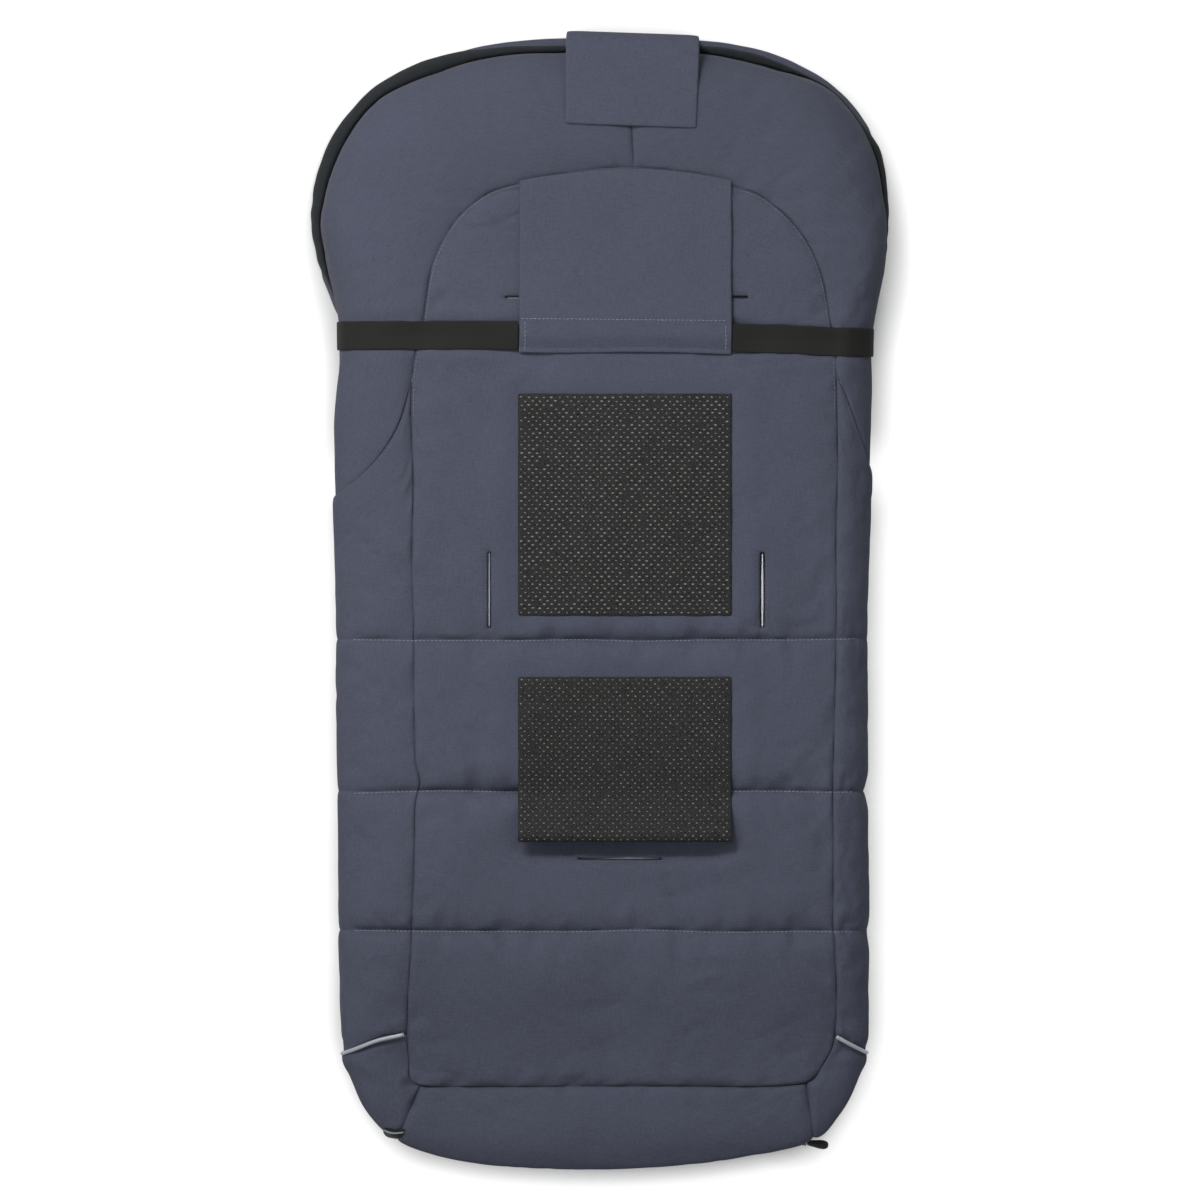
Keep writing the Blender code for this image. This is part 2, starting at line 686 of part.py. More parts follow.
def make_back(parts, cutters):
    """The quilted back panel, its fleece, and the slots with their bindings."""
    rows = CORNER_ROWS + BODY_ROWS[1:] + ARCH_ROWS[1:]
    base = back_grid(rows, COLUMN_shares, seam_row(CROWN_ROWS), seam_row(FOOT_ROWS))
    up = [[Vector((0.0, 0.0, 1.0))] * len(rows) for _ in COLUMN_shares]
    rolls = (EDGE_ROLL, EDGE_ROLL, EDGE_ROLL, EDGE_ROLL)
    outer = puffed(base, up, BACK_PUFF, rolls)
    half = SEAM_GAP / 2.0
    gaps = (half, half, half, half)
    quilt = slab("back_quilt", outer, sunk(base, up, BACK_THICK), parts, "shell", gaps)
    rows = CORNER_ROWS[::2] + LINING_BODY_ROWS[1:] + LINING_ARCH_ROWS[4:]
    crown = seam_row(LINING_CROWN_ROWS)
    base = back_grid(rows, LINING_COLUMN_shares, crown, seam_row(FOOT_ROWS[::3]))
    up = [[Vector((0.0, 0.0, 1.0))] * len(rows) for _ in LINING_COLUMN_shares]
    top = sunk(base, up, BACK_THICK + LINING_GAP)
    bottom = sunk(base, up, BACK_THICK + LINING_GAP + LINING_THICK)
    fleece = slab("back_lining", top, bottom, parts, "fleece", gaps)
    slots = (
        ("harness_slot_left", HARNESS_SLOT_LEFT_X, HARNESS_SLOT_Y, HARNESS_SLOT_LENGTH, True),
        ("harness_slot_right", HARNESS_SLOT_RIGHT_X, HARNESS_SLOT_Y, HARNESS_SLOT_LENGTH, True),
        ("crotch_slot", CROTCH_SLOT_X, CROTCH_SLOT_Y, CROTCH_SLOT_LENGTH, False),
        ("shoulder_slit", SLIT_X, SLIT_Y, SLIT_LENGTH, False),
    )
    for name, x, y, length, along_y in slots:
        low = BACK_Z - BACK_THICK - LINING_GAP - LINING_THICK - LIP_PROUD
        high = BACK_Z + BACK_PUFF + LIP_PROUD
        centre = (x, y, (low + high) / 2.0)
        cutter = as_cutter(slot_cutter(name + "_cutter", centre, length, along_y, cutters))
        cut(quilt, cutter)
        cut(fleece, cutter)
        lip = 2.0 * SLOT_LIP
        clear = (SLOT_CLEAR, length) if along_y else (length, SLOT_CLEAR)
        size = (clear[0] + lip, clear[1] + lip, high - low)
        binding = box(name + "_binding", centre, size, parts, "fleece")
        hole = box(name + "_hole", centre, (clear[0], clear[1], BACK_Z), cutters, None)
        cut(binding, as_cutter(hole))


def rim_rows(side):
    """Stations of the rim up one side, on the rows of the hood's lower edge."""
    first = ARCH_ROWS[4]
    start = shoulder_station(side, 1.0)
    low = [mix(start, first, share) for share in RIM_START_shares]
    return [(side, s) for s in low] + [(side, s) for s in ARCH_ROWS[4:]]


def make_rim(parts):
    """The dark binding round the hood's edge, from one side zip's end to the other."""
    rows = rim_rows(LEFT) + [(LEFT, s) for s in CROWN_ROWS[1:]]
    rows += [(RIGHT, s) for s in CROWN_ROWS[-2:0:-1]] + rim_rows(RIGHT)[::-1]
    turns = (0.0, 0.33, 0.66, 1.0)
    outer, inner = [], []
    for turn in turns:
        angle = turn * math.pi / 2.0
        outer_line, inner_line = [], []
        for side, s in rows:
            section = Section(side, s)
            top = section.edge_z - REST_GAP
            taper = 1.0 - min(max((s - ZIP_END) / RIM_TAPER_STATIONS, 0.0), 1.0)
            bottom = (ZIP_Z - TAPE_REACH) * taper * taper
            height = mix(bottom, top, math.cos(angle))
            plan = section.lower + section.out * section.rim * math.sin(angle)
            deep = section.lower + section.out * (section.rim * math.sin(angle) - RIM_THICK)
            outer_line.append(Vector((plan.x, plan.y, height)))
            inner_line.append(Vector((deep.x, deep.y, height)))
        outer.append(outer_line)
        inner.append(inner_line)
    return slab("hood_rim_binding", outer, inner, parts, "rim")


def cover_point(edge, toward, k):
    """A point of the cover at step k from the zip line inwards, and its direction."""
    reach = len(SKIRT_TURNS)
    if k < reach:
        turn = SKIRT_TURNS[k]
        plan = edge + toward * COVER_SKIRT * (1.0 - math.cos(turn))
        height = (ZIP_Z - TAPE_REACH) * (1.0 - math.sin(turn))
        out = -toward * math.cos(turn)
        return Vector((plan.x, plan.y, height)), Vector((out.x, out.y, -math.sin(turn)))
    return None


def cover_grids(heights, groove_at):
    """Base points and directions of the front cover for rows at the given Y."""
    left = SIDE_ZIP_X_share[LEFT] * HALF_WIDTH
    right = SIDE_ZIP_X_share[RIGHT] * HALF_WIDTH
    count = len(SKIRT_TURNS)
    columns = []
    for k in range(count):
        columns.append([cover_point(Vector((left, y)), Vector((1.0, 0.0)), k) for y in heights])
    for share in COVER_FLAT_shares:
        x = mix(left + COVER_SKIRT, right - COVER_SKIRT, share)
        down = Vector((0.0, 0.0, -1.0))
        columns.append([(Vector((x, y, 0.0)), down) for y in heights])
    for k in reversed(range(count)):
        columns.append([cover_point(Vector((right, y)), Vector((-1.0, 0.0)), k) for y in heights])
    base = [[point for point, _ in line] for line in columns]
    facing = [[toward for _, toward in line] for line in columns]
    outer = [
        [point - toward * groove_at(point.y) for point, toward in line] for line in columns
    ]
    return base, facing, outer


def cover_groove(y):
    """How deep the cover's quilting seams draw it in at the height y of the plan."""
    depth = 0.0
    for seam in QUILT_SEAM_shares:
        distance = abs(y - seam * HALF_LENGTH)
        if distance < COVER_GROOVE_REACH / 2.0:
            depth = COVER_GROOVE
    return depth


def make_cover(parts):
    """The front cover that zips off: quilt, fleece and the hem at its open end."""
    low = HINGE_Y + HINGE_GAP / 2.0
    middle = [share * HALF_LENGTH for share in COVER_ROW_shares]
    heights = [low] + middle + [COVER_TOP_Y]
    base, facing, outer = cover_grids(heights, cover_groove)
    slab("cover_quilt", outer, sunk(base, facing, COVER_THICK), parts, "shell")
    fleece_heights = [low, SIDE_SLIDER_Y / 2.0, COVER_TOP_Y]
    base, facing, _ = cover_grids(fleece_heights, lambda y: 0.0)
    top = sunk(base, facing, COVER_THICK + LINING_GAP)
    bottom = sunk(base, facing, COVER_THICK + LINING_GAP + LINING_THICK)
    slab("cover_lining", top, bottom, parts, "fleece")
    hem_low = COVER_TOP_Y + REST_GAP
    base, facing, outer = cover_grids([hem_low, hem_low + HEM_WIDTH], lambda y: 0.0)
    deep = COVER_THICK + LINING_GAP + LINING_THICK
    slab("cover_hem_binding", outer, sunk(base, facing, deep), parts, "rim")


def make_foot_cover(parts):
    """The foot part of the cover, which the foot zip joins to the end panel."""
    hinge_y = HINGE_Y - HINGE_GAP / 2.0
    stations = [(LEFT, station_at(LEFT, hinge_y, CORNER, SEAM_LOW))]
    stations += [(LEFT, s) for s in FOOT_COVER_ROWS]
    stations += [(RIGHT, s) for s in FOOT_COVER_ROWS[-2::-1]]
    stations += [(RIGHT, station_at(RIGHT, hinge_y, CORNER, SEAM_LOW))]
    edges = [Section(side, s).lower for side, s in stations]
    edges = [edge for edge in edges if edge.y < hinge_y - HEM_WIDTH]
    left = Vector((SIDE_ZIP_X_share[LEFT] * HALF_WIDTH, hinge_y))
    right = Vector((SIDE_ZIP_X_share[RIGHT] * HALF_WIDTH, hinge_y))
    edges = [left] + edges + [right]
    middle = (left.x + right.x) / 2.0
    columns = []
    for k in range(len(SKIRT_TURNS) + len(FOOT_FLAT_shares)):
        line = []
        for edge in edges:
            root = Vector((mix(middle, edge.x, FOOT_FAN_share), hinge_y))
            toward = (root - edge).normalized()
            if k < len(SKIRT_TURNS):
                line.append(cover_point(edge, toward, k))
            else:
                share = FOOT_FLAT_shares[k - len(SKIRT_TURNS)]
                plan = (edge + toward * COVER_SKIRT).lerp(root, share)
                line.append((Vector((plan.x, plan.y, 0.0)), Vector((0.0, 0.0, -1.0))))
        columns.append(line)
    base = [[point for point, _ in line] for line in columns]
    facing = [[toward for _, toward in line] for line in columns]
    copied = [[point.copy() for point in line] for line in base]
    slab("foot_cover_quilt", copied, sunk(base, facing, COVER_THICK), parts, "shell",
         fan=True)


def zip_profile(half):
    """A zip half's section as (outward, height) pairs: a tape with its coil at one edge."""
    coil, tape = COIL_THICK / 2.0, TAPE_THICK / 2.0
    near = COIL_GAP / 2.0
    middle = near + COIL_WIDTH
    far = TAPE_REACH - REST_GAP
    shoulder = middle - COIL_WIDTH / 4.0
    shape = [(coil, near), (coil, shoulder), (tape, middle), (tape, far),
             (-tape, far), (-tape, middle), (-coil, shoulder), (-coil, near)]
    return [(out, half * height, 0.0) for out, height in shape]


def zip_half(name, path, half, parts, cutters):
    """One half of a zip, its section swept along a path at the zip's height."""
    section = drawn(name + "_section", zip_profile(half), True)
    guide = bpy.data.objects.new(name + "_section", section)
    cutters.objects.link(as_cutter(guide))
    curve = drawn(name, [(place.x, place.y, ZIP_Z) for place in path], False)
    curve.bevel_mode = "OBJECT"
    curve.bevel_object = guide
    curve.use_fill_caps = True
    return made_solid(name, curve, parts, "zip_tape")


def foot_zip_place(angle):
    """A place on the foot zip's arc."""
    out = Vector((math.sin(angle), -math.cos(angle)))
    return Vector(FOOT_ZIP_CENTRE) + out * FOOT_ZIP_RADIUS


def make_zips(parts, cutters):
    """Tape and coil of each zip, one half on each piece that it joins."""
    for side, word in ((LEFT, "left"), (RIGHT, "right")):
        x = SIDE_ZIP_X_share[side] * HALF_WIDTH
        low = HINGE_Y + HINGE_GAP / 2.0
        path = [Vector((x, low)), Vector((x, COVER_TOP_Y))]
        zip_half(f"side_zip_{word}_body_half", path, 1.0, parts, cutters)
        zip_half(f"side_zip_{word}_cover_half", path, -1.0, parts, cutters)
    steps = 12
    turns = [mix(-1.0, 1.0, k / steps) * FOOT_ZIP_HALF_ANGLE for k in range(steps + 1)]
    path = [foot_zip_place(turn) for turn in turns]
    zip_half("foot_zip_end_half", path, 1.0, parts, cutters)
    zip_half("foot_zip_cover_half", path, -1.0, parts, cutters)


def bail_outline():
    """The bail's outline: two legs on the wing and the bar between them."""
    low = WING_GAP + WING_THICK - OVERLAP
    high = WING_GAP + WING_THICK + BAIL_RISE
    half, bar = BAIL_HALF_SPAN, BAIL_BAR
    return [(-half, low), (bar - half, low), (bar - half, high - bar),
            (half - bar, high - bar), (half - bar, low), (half, low),
            (half, high), (-half, high)]


def slider(name, place, turn, closed, parts):
    """A zip slider: two wings, the neck between the coils and the bail for the pull."""
    holder = bpy.context.scene.collection
    outer_y = WING_GAP + WING_THICK / 2.0
    neck_x = closed * (NECK_FROM + NECK_LENGTH / 2.0)
    neck_deep = 2.0 * (WING_GAP + OVERLAP)
    wing = (SLIDER_LENGTH, WING_THICK, SLIDER_WIDTH)
    whole = box(name + "_wing", (0.0, outer_y, 0.0), wing, holder, "zip_metal")
    bail = mesh_from(flat_outline(name + "_bail", (bail_outline(),), BAIL_WIDTH), name)
    blocks = [
        box(name + "_far_wing", (0.0, -outer_y, 0.0), wing, holder, None),
        box(name + "_neck", (neck_x, 0.0, 0.0), (NECK_LENGTH, neck_deep, NECK_WIDTH),
            holder, None),
        link(name + "_bail", bail, holder, None),
    ]
    for block in (blocks[1], blocks[0], blocks[2]):
        cut(whole, block, "UNION")
    bpy.context.view_layer.update()
    graph = bpy.context.evaluated_depsgraph_get()
    mesh = bpy.data.meshes.new_from_object(whole.evaluated_get(graph))
    mesh.transform(Matrix.Translation((0.0, outer_y, 0.0)))
    for block in blocks + [whole]:
        bpy.data.objects.remove(block, do_unlink=True)
    made = link(name, mesh, parts, "zip_metal", place)
    made.rotation_euler = (0.0, 0.0, turn)
    return made


def flat_outline(name, splines, thick):
    """A mesh plate from closed outlines in the XY plane, holes included."""
    curve = bpy.data.curves.new(name, "CURVE")
    curve.dimensions = "2D"
    curve.fill_mode = "BOTH"
    curve.extrude = thick / 2.0
    for points in splines:
        spline = curve.splines.new("POLY")
        spline.points.add(len(points) - 1)
        for knot, (x, y) in zip(spline.points, points):
            knot.co = (x, y, 0.0, 1.0)
        spline.use_cyclic_u = True
    holder = bpy.data.objects.new(name + "_outline", curve)
    bpy.context.scene.collection.objects.link(holder)
    bpy.context.view_layer.update()
    graph = bpy.context.evaluated_depsgraph_get()
    mesh = bpy.data.meshes.new_from_object(holder.evaluated_get(graph))
    bpy.data.objects.remove(holder, do_unlink=True)
    bm = bmesh.new()
    bm.from_mesh(mesh)
    bpy.data.meshes.remove(mesh)
    bmesh.ops.remove_doubles(bm, verts=bm.verts[:], dist=MERGE)
    return bm


def pull_outline(length):
    """A pull's outline, broad at its end, and the hole that the bail passes through."""
    root = PULL_ROOT / 2.0
    wide = PULL_HALF_WIDTH
    hole_end = root + PULL_HOLE_LENGTH
    round_steps = 6
    outline = [(-root, -wide * 0.8), (length * 0.45, -wide * 0.8)]
    for k in range(round_steps + 1):
        angle = mix(-math.pi / 2.0, math.pi / 2.0, k / round_steps)
        outline.append((length - wide + wide * math.cos(angle), wide * math.sin(angle)))
    outline += [(length * 0.45, wide * 0.8), (-root, wide * 0.8)]
    half = PULL_HOLE_HALF_WIDTH
    hole = [(root, -half), (hole_end, -half), (hole_end, half), (root, half)]
    return outline, hole


def pull_height():
    """The outward distance of the pull's hinge line from the zip's middle."""
    return WING_GAP + WING_THICK + (BAIL_RISE - BAIL_BAR) / 2.0 + OVERLAP / 4.0


def side_pull(name, place, turn, points_to, parts):
    """A side zip's pull, hung on its slider's bail with its origin on the hinge line."""
    outline, hole = pull_outline(PULL_LENGTH)
    bm = flat_outline(name, (outline, hole), PULL_THICK)
    bmesh.ops.rotate(bm, verts=bm.verts[:], matrix=Matrix.Rotation(math.pi / 2.0, 3, "X"))
    if points_to < 0:
        bmesh.ops.rotate(bm, verts=bm.verts[:], matrix=Matrix.Rotation(math.pi, 3, "Z"))
    piece = link(name, mesh_from(bm, name), parts, "zip_metal")
    hinge = Vector((0.0, pull_height(), 0.0))
    piece.location = Vector(place) + Matrix.Rotation(turn, 3, "Z") @ hinge
    piece.rotation_euler = (0.0, 0.0, turn)
    return piece


def foot_pull(place, turn, points_to, parts):
    """The foot zip's pull: a ribbon on the bail that turns flat, and its rubber grip."""
    root, wide = PULL_ROOT / 2.0, PULL_HALF_WIDTH * 0.8
    half, hole_end = PULL_HOLE_HALF_WIDTH, PULL_ROOT / 2.0 + PULL_HOLE_LENGTH
    outline = [(-root, -wide), (RIBBON_LENGTH, -wide), (RIBBON_LENGTH, wide), (-root, wide)]
    hole = [(root, -half), (hole_end, -half), (hole_end, half), (root, half)]
    bm = flat_outline("foot_pull_ribbon", (outline, hole), PULL_THICK)
    bmesh.ops.rotate(bm, verts=bm.verts[:], matrix=Matrix.Rotation(math.pi / 2.0, 3, "X"))
    bmesh.ops.dissolve_limit(bm, angle_limit=math.radians(1), verts=bm.verts[:],
                             edges=bm.edges[:])
    steps = 6
    for k in range(steps + 1):
        x = mix(RIBBON_TWIST_FROM, RIBBON_LENGTH - PULL_ROOT, k / steps)
        bmesh.ops.bisect_plane(bm, geom=bm.verts[:] + bm.edges[:] + bm.faces[:],
                               plane_co=(x, 0.0, 0.0), plane_no=(1.0, 0.0, 0.0))
    span = RIBBON_LENGTH - PULL_ROOT - RIBBON_TWIST_FROM
    for vert in bm.verts:
        share = ramp((vert.co.x - RIBBON_TWIST_FROM) / span)
        vert.co = Matrix.Rotation(share * math.pi / 2.0, 3, "X") @ vert.co
    ribbon = mesh_from(bm, "foot_pull_ribbon")
    grip_start = RIBBON_LENGTH + REST_GAP
    line = [(grip_start + share * GRIP_LENGTH, 0.0, 0.0) for share, _ in GRIP_shares]
    curve = drawn("foot_pull_grip", line, False)
    curve.bevel_depth = GRIP_HALF_WIDTH
    curve.bevel_resolution = 2
    curve.use_fill_caps = True
    for knot, (_, size) in zip(curve.splines[0].points, GRIP_shares):
        knot.radius = size
    grip = made_solid("foot_pull_grip", curve, parts, "rubber")
    flatten = GRIP_THICK / (2.0 * GRIP_HALF_WIDTH)
    grip.data.transform(Matrix.Diagonal((1.0, 1.0, flatten, 1.0)))
    ribbon = link("foot_pull_ribbon", ribbon, parts, "ribbon")
    hinge = Vector((0.0, pull_height(), 0.0))
    for piece in (ribbon, grip):
        if points_to < 0:
            piece.data.transform(Matrix.Rotation(math.pi, 4, "Z"))
        piece.location = Vector(place) + Matrix.Rotation(turn, 3, "Z") @ hinge
        piece.rotation_euler = (0.0, 0.0, turn - FOOT_PULL_SWING)


def make_sliders(parts):
    """Sliders and pulls of the two side zips and of the foot zip."""
    for side, word in ((LEFT, "left"), (RIGHT, "right")):
        place = (SIDE_ZIP_X_share[side] * HALF_WIDTH, SIDE_SLIDER_Y, ZIP_Z)
        turn = -side * math.pi / 2.0
        closed = -side
        slider(f"side_slider_{word}", place, turn, closed, parts)
        side_pull(f"side_pull_{word}", place, turn, -closed, parts)
    plan = foot_zip_place(FOOT_SLIDER_ANGLE)
    place = (plan.x, plan.y, ZIP_Z)
    turn = math.pi + FOOT_SLIDER_ANGLE
    slider("foot_slider", place, turn, -1.0, parts)
    foot_pull(place, turn, -1.0, parts)


def make_pads(parts):
    """The two anti-slip pads on the back: a flat one and one that bridges a seam."""
    surface = BACK_Z + BACK_PUFF + REST_GAP
    width = PAD_RIGHT_X - PAD_LEFT_X
    depth = UPPER_PAD_TOP_Y - UPPER_PAD_FOOT_Y
    centre = (
        (PAD_RIGHT_X + PAD_LEFT_X) / 2.0,
        (UPPER_PAD_TOP_Y + UPPER_PAD_FOOT_Y) / 2.0,
        surface + PAD_THICK / 2.0,
    )
    box("upper_grip_pad", centre, (width, depth, PAD_THICK), parts, "grip_mesh")
    crown_y = (QUILT_SEAM_shares[1] + QUILT_SEAM_shares[2]) * HALF_LENGTH / 2.0
    steps = (8, 10)
    outer, inner = [], []
    for i in range(steps[0] + 1):
        x = mix(PAD_LEFT_X, PAD_RIGHT_X, i / steps[0])
        top, bottom = [], []
        for j in range(steps[1] + 1):
            y = mix(LOWER_PAD_FOOT_Y, LOWER_PAD_TOP_Y, j / steps[1])
            share = quilt_share(y) if y > crown_y else 1.0
            lift = LOWER_PAD_LIFT * (1.0 - ramp((y - LOWER_PAD_FOOT_Y) / LOWER_PAD_LIFT_REACH))
            z = BACK_Z + BACK_PUFF * share + REST_GAP + lift
            bottom.append(Vector((x, y, z)))
            top.append(Vector((x, y, z + PAD_THICK)))
        outer.append(top)
        inner.append(bottom)
    slab("lower_grip_pad", outer, inner, parts, "grip_mesh")


def strip_along(path, thick):
    """Upper and lower points of a strip of cloth that follows a path in the YZ plane."""
    above, below = [], []
    for k, (y, z) in enumerate(path):
        before = path[max(k - 1, 0)]
        after = path[min(k + 1, len(path) - 1)]
        run = Vector((after[0] - before[0], after[1] - before[1])).normalized()
        side = Vector((run.y, -run.x)) * thick / 2.0
        above.append((y + side.x, z + side.y))
        below.append((y - side.x, z - side.y))
    return above, below


def flap_path(top_y):
    """The backrest flap's fold in Y and Z: down to the hem and back under the strap."""
    hem_z = BACK_Z + BACK_PUFF + FLAP_HEM_RISE
    root_z = BACK_Z + FLAP_ROOT_RISE
    radius = STRAP_THICK / 2.0 + REST_GAP + FLAP_CLOTH / 2.0
    turn_y = FLAP_FOOT_Y + radius + FLAP_CLOTH / 2.0
    path = []
    for share in (0.0, 0.04, 0.12, 0.25, 0.45, 0.7, 1.0):
        z = mix(root_z, hem_z, share ** FLAP_RISE_POWER)
        path.append((mix(top_y, HEM_TURN_Y, share), z))
    path.append((turn_y, hem_z))
    for turn in (0.25, 0.5, 0.75, 1.0):
        angle = turn * math.pi
        y = turn_y - radius * math.sin(angle)
        path.append((y, hem_z - radius * (1.0 - math.cos(angle))))
    under_y = STRAP_Y + STRAP_WIDTH / 2.0 + FLAP_CLOTH
    path.append((under_y, hem_z - 2.0 * radius))
    path.append((under_y + 2.0 * FLAP_CLOTH, hem_z - FLAP_CLOTH - SHOULDER_GAP))
    return path


def make_backrest_flap(parts):
    """The flap that goes over a backrest, folded round the elastic strap."""
    columns = 6
    outer, inner = [], []
    for i in range(columns + 1):
        x = mix(FLAP_LEFT_X, FLAP_RIGHT_X, i / columns)
        bow = 1.0 - (2.0 * i / columns - 1.0) ** 2
        top_y = ring_row(LEFT, ARCH)[1] * HALF_LENGTH + FLAP_OVER_SEAM
        top_y += (ring_row(LEFT, CROWN)[1] - ring_row(LEFT, ARCH)[1]) * HALF_LENGTH * bow
        above, below = strip_along(flap_path(top_y), FLAP_CLOTH)
        outer.append([Vector((x, y, z)) for y, z in below])
        inner.append([Vector((x, y, z)) for y, z in above])
    slab("backrest_flap", outer, inner, parts, "shell")


def strap_in_hem_z():
    """Height of the strap's middle inside the hem."""
    radius = STRAP_THICK / 2.0 + REST_GAP + FLAP_CLOTH / 2.0
    return BACK_Z + BACK_PUFF + FLAP_HEM_RISE - radius


def make_strap(parts):
    """The elastic strap: its middle in the hem and a free end to each side seam."""
    middle_x = (FLAP_LEFT_X + FLAP_RIGHT_X) / 2.0
    box("strap_middle", (middle_x, STRAP_Y, strap_in_hem_z()),
        (FLAP_RIGHT_X - FLAP_LEFT_X, STRAP_WIDTH, STRAP_THICK), parts, "black_webbing")
    rise = STRAP_SEAM_RISE + STRAP_THICK / 2.0
    for side, word, start_x in ((LEFT, "left", FLAP_LEFT_X), (RIGHT, "right", FLAP_RIGHT_X)):
        section = Section(side, station_at(side, STRAP_Y))
        seam_x = section.inner.x
        points = []
        for share in (0.0, 0.35, 0.7):
            x = mix(start_x + side * REST_GAP, seam_x, share)
            z = mix(strap_in_hem_z(), BACK_Z + rise + GUSSET_PUFF, ramp(share))
            points.append((x, z))
        for share in (0.0, 0.1, 0.2, 0.34, 0.48, 0.6, 0.7, 0.78, STRAP_END_SHARE):
            point, toward = section.point(share)
            place = point + toward * (rise + GUSSET_PUFF)
            points.append((place.x, place.z))
        above, below = strip_along(points, STRAP_THICK)
        low, high = STRAP_Y - STRAP_WIDTH / 2.0, STRAP_Y + STRAP_WIDTH / 2.0
        outer = [[Vector((x, low, z)), Vector((x, high, z))] for x, z in below]
        inner = [[Vector((x, low, z)), Vector((x, high, z))] for x, z in above]
        slab(f"strap_{word}", outer, inner, parts, "black_webbing")


def over_crown(u, rise):
    """A place over the hood's crown seam, in Y and Z, at share u of its section."""
    point, toward = Section(LEFT, CROWN).point(u)
    place = point + toward * (HOOD_PUFF + rise)
    return place.y, place.z


def top_flap_path():
    """The top flap's line in Y and Z, from its end on the hood round to its root."""
    path = [over_crown(u, TOP_FLAP_RISE) for u in TOP_FLAP_shares]
    tip_z = path[-1][1]
    for share in (0.35, 0.7, 1.0):
        path.append((TOP_FLAP_END_Y, mix(tip_z, TOP_FLAP_ROOT_Z, share)))
    return path


def flap_strip(name, path, thick, left, right, columns, parts, finish):
    """A strip of cloth along a path in the YZ plane, between two places across."""
    above, below = strip_along(path, thick)
    outer, inner = [], []
    for i in range(columns + 1):
        x = mix(left, right, i / columns)
        outer.append([Vector((x, y, z)) for y, z in above])
        inner.append([Vector((x, y, z)) for y, z in below])
    return slab(name, outer, inner, parts, finish)


def make_top_flap(parts):
    """The flap folded over the rim, with hook tape under it and loop tape on the hood."""
    flap_strip("top_flap", top_flap_path(), TOP_FLAP_CLOTH, TOP_FLAP_LEFT_X,
               TOP_FLAP_RIGHT_X, 5, parts, "shell")
    left, right = TOP_FLAP_LEFT_X + HOOK_MARGIN, TOP_FLAP_RIGHT_X - HOOK_MARGIN
    hook_rise = TOP_FLAP_RISE - TOP_FLAP_CLOTH / 2.0 - REST_GAP - HOOK_THICK / 2.0
    path = [over_crown(u, hook_rise) for u in HOOK_TAPE_shares]
    flap_strip("top_flap_hook_tape", path, HOOK_THICK, left, right, 2, parts, "hook_tape")
    path = [over_crown(u, hook_rise - HOOK_THICK - REST_GAP) for u in HOOK_TAPE_shares]
    flap_strip("hood_loop_tape", path, HOOK_THICK, left, right, 2, parts, "hook_tape")


def make_piping(parts):
    """Reflective piping on the seam between each gusset and its foot corner."""
    for side, word in ((LEFT, "left"), (RIGHT, "right")):
        section = Section(side, PIPING)
        line = []
        for share in (0.03, 0.12, 0.24, 0.36, 0.48, 0.59, 0.70, 0.78, 0.86, 0.94):
            point, toward = section.point(share)
            line.append(point + toward * (PIPING_RADIUS + PIPING_CLEAR))
        curve = drawn(f"piping_{word}", line, False)
        curve.bevel_depth = PIPING_RADIUS
        curve.bevel_resolution = 2
        curve.use_fill_caps = True
        made_solid(f"piping_{word}", curve, parts, "reflective")


def hang(name, place):
    """Puts a piece's origin on its joint's axis and leaves its shape where it is."""
    piece = bpy.data.objects[name]
    before = Matrix.LocRotScale(piece.location, piece.rotation_euler, None)
    piece.data.transform(Matrix.Translation(-Vector(place)) @ before)
    piece.location = place
    piece.rotation_euler = (0.0, 0.0, 0.0)


def hang_all():
    """Gives each moving piece its origin on the axis that it turns about."""
    hinge = (0.0, HINGE_Y, 0.0)
    for name in ("cover_quilt", "cover_lining", "cover_hem_binding", "foot_cover_quilt",
                 "side_zip_left_cover_half", "side_zip_right_cover_half",
                 "foot_zip_cover_half"):
        hang(name, hinge)
    hang("foot_slider", (*FOOT_ZIP_CENTRE, ZIP_Z))
    flap_y = ring_row(LEFT, CROWN)[1] * HALF_LENGTH + FLAP_OVER_SEAM
    for name in ("backrest_flap", "strap_middle"):
        hang(name, (0.0, flap_y, BACK_Z))
    for name in ("top_flap", "top_flap_hook_tape"):
        hang(name, (0.0, TOP_FLAP_END_Y, TOP_FLAP_ROOT_Z))


def main():
    """Builds the whole footmuff."""
    clear_scene()
    parts = new_collection("stroller_footmuff")
    cutters = new_collection("cutters")
    make_back(parts, cutters)
    make_walls(parts)
    make_rim(parts)
    make_cover(parts)
    make_foot_cover(parts)
    make_zips(parts, cutters)
    make_sliders(parts)
    make_pads(parts)
    make_backrest_flap(parts)
    make_strap(parts)
    make_top_flap(parts)
    make_piping(parts)
    hang_all()


main()
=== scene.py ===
"""The looks of the stroller footmuff: sewn and padded cloth round the fixed CAD frame.

X runs across, Y towards the head end, Z up from the floor, in metres. The padded panels
start as one thin shell on the same stations and sections as the CAD solids. A cloth
simulation fills the shell between its seams, and each panel is then cut out of it.
"""
import math
import random

import bmesh
import bpy
import numpy as np
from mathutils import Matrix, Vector, noise
from mathutils.bvhtree import BVHTree


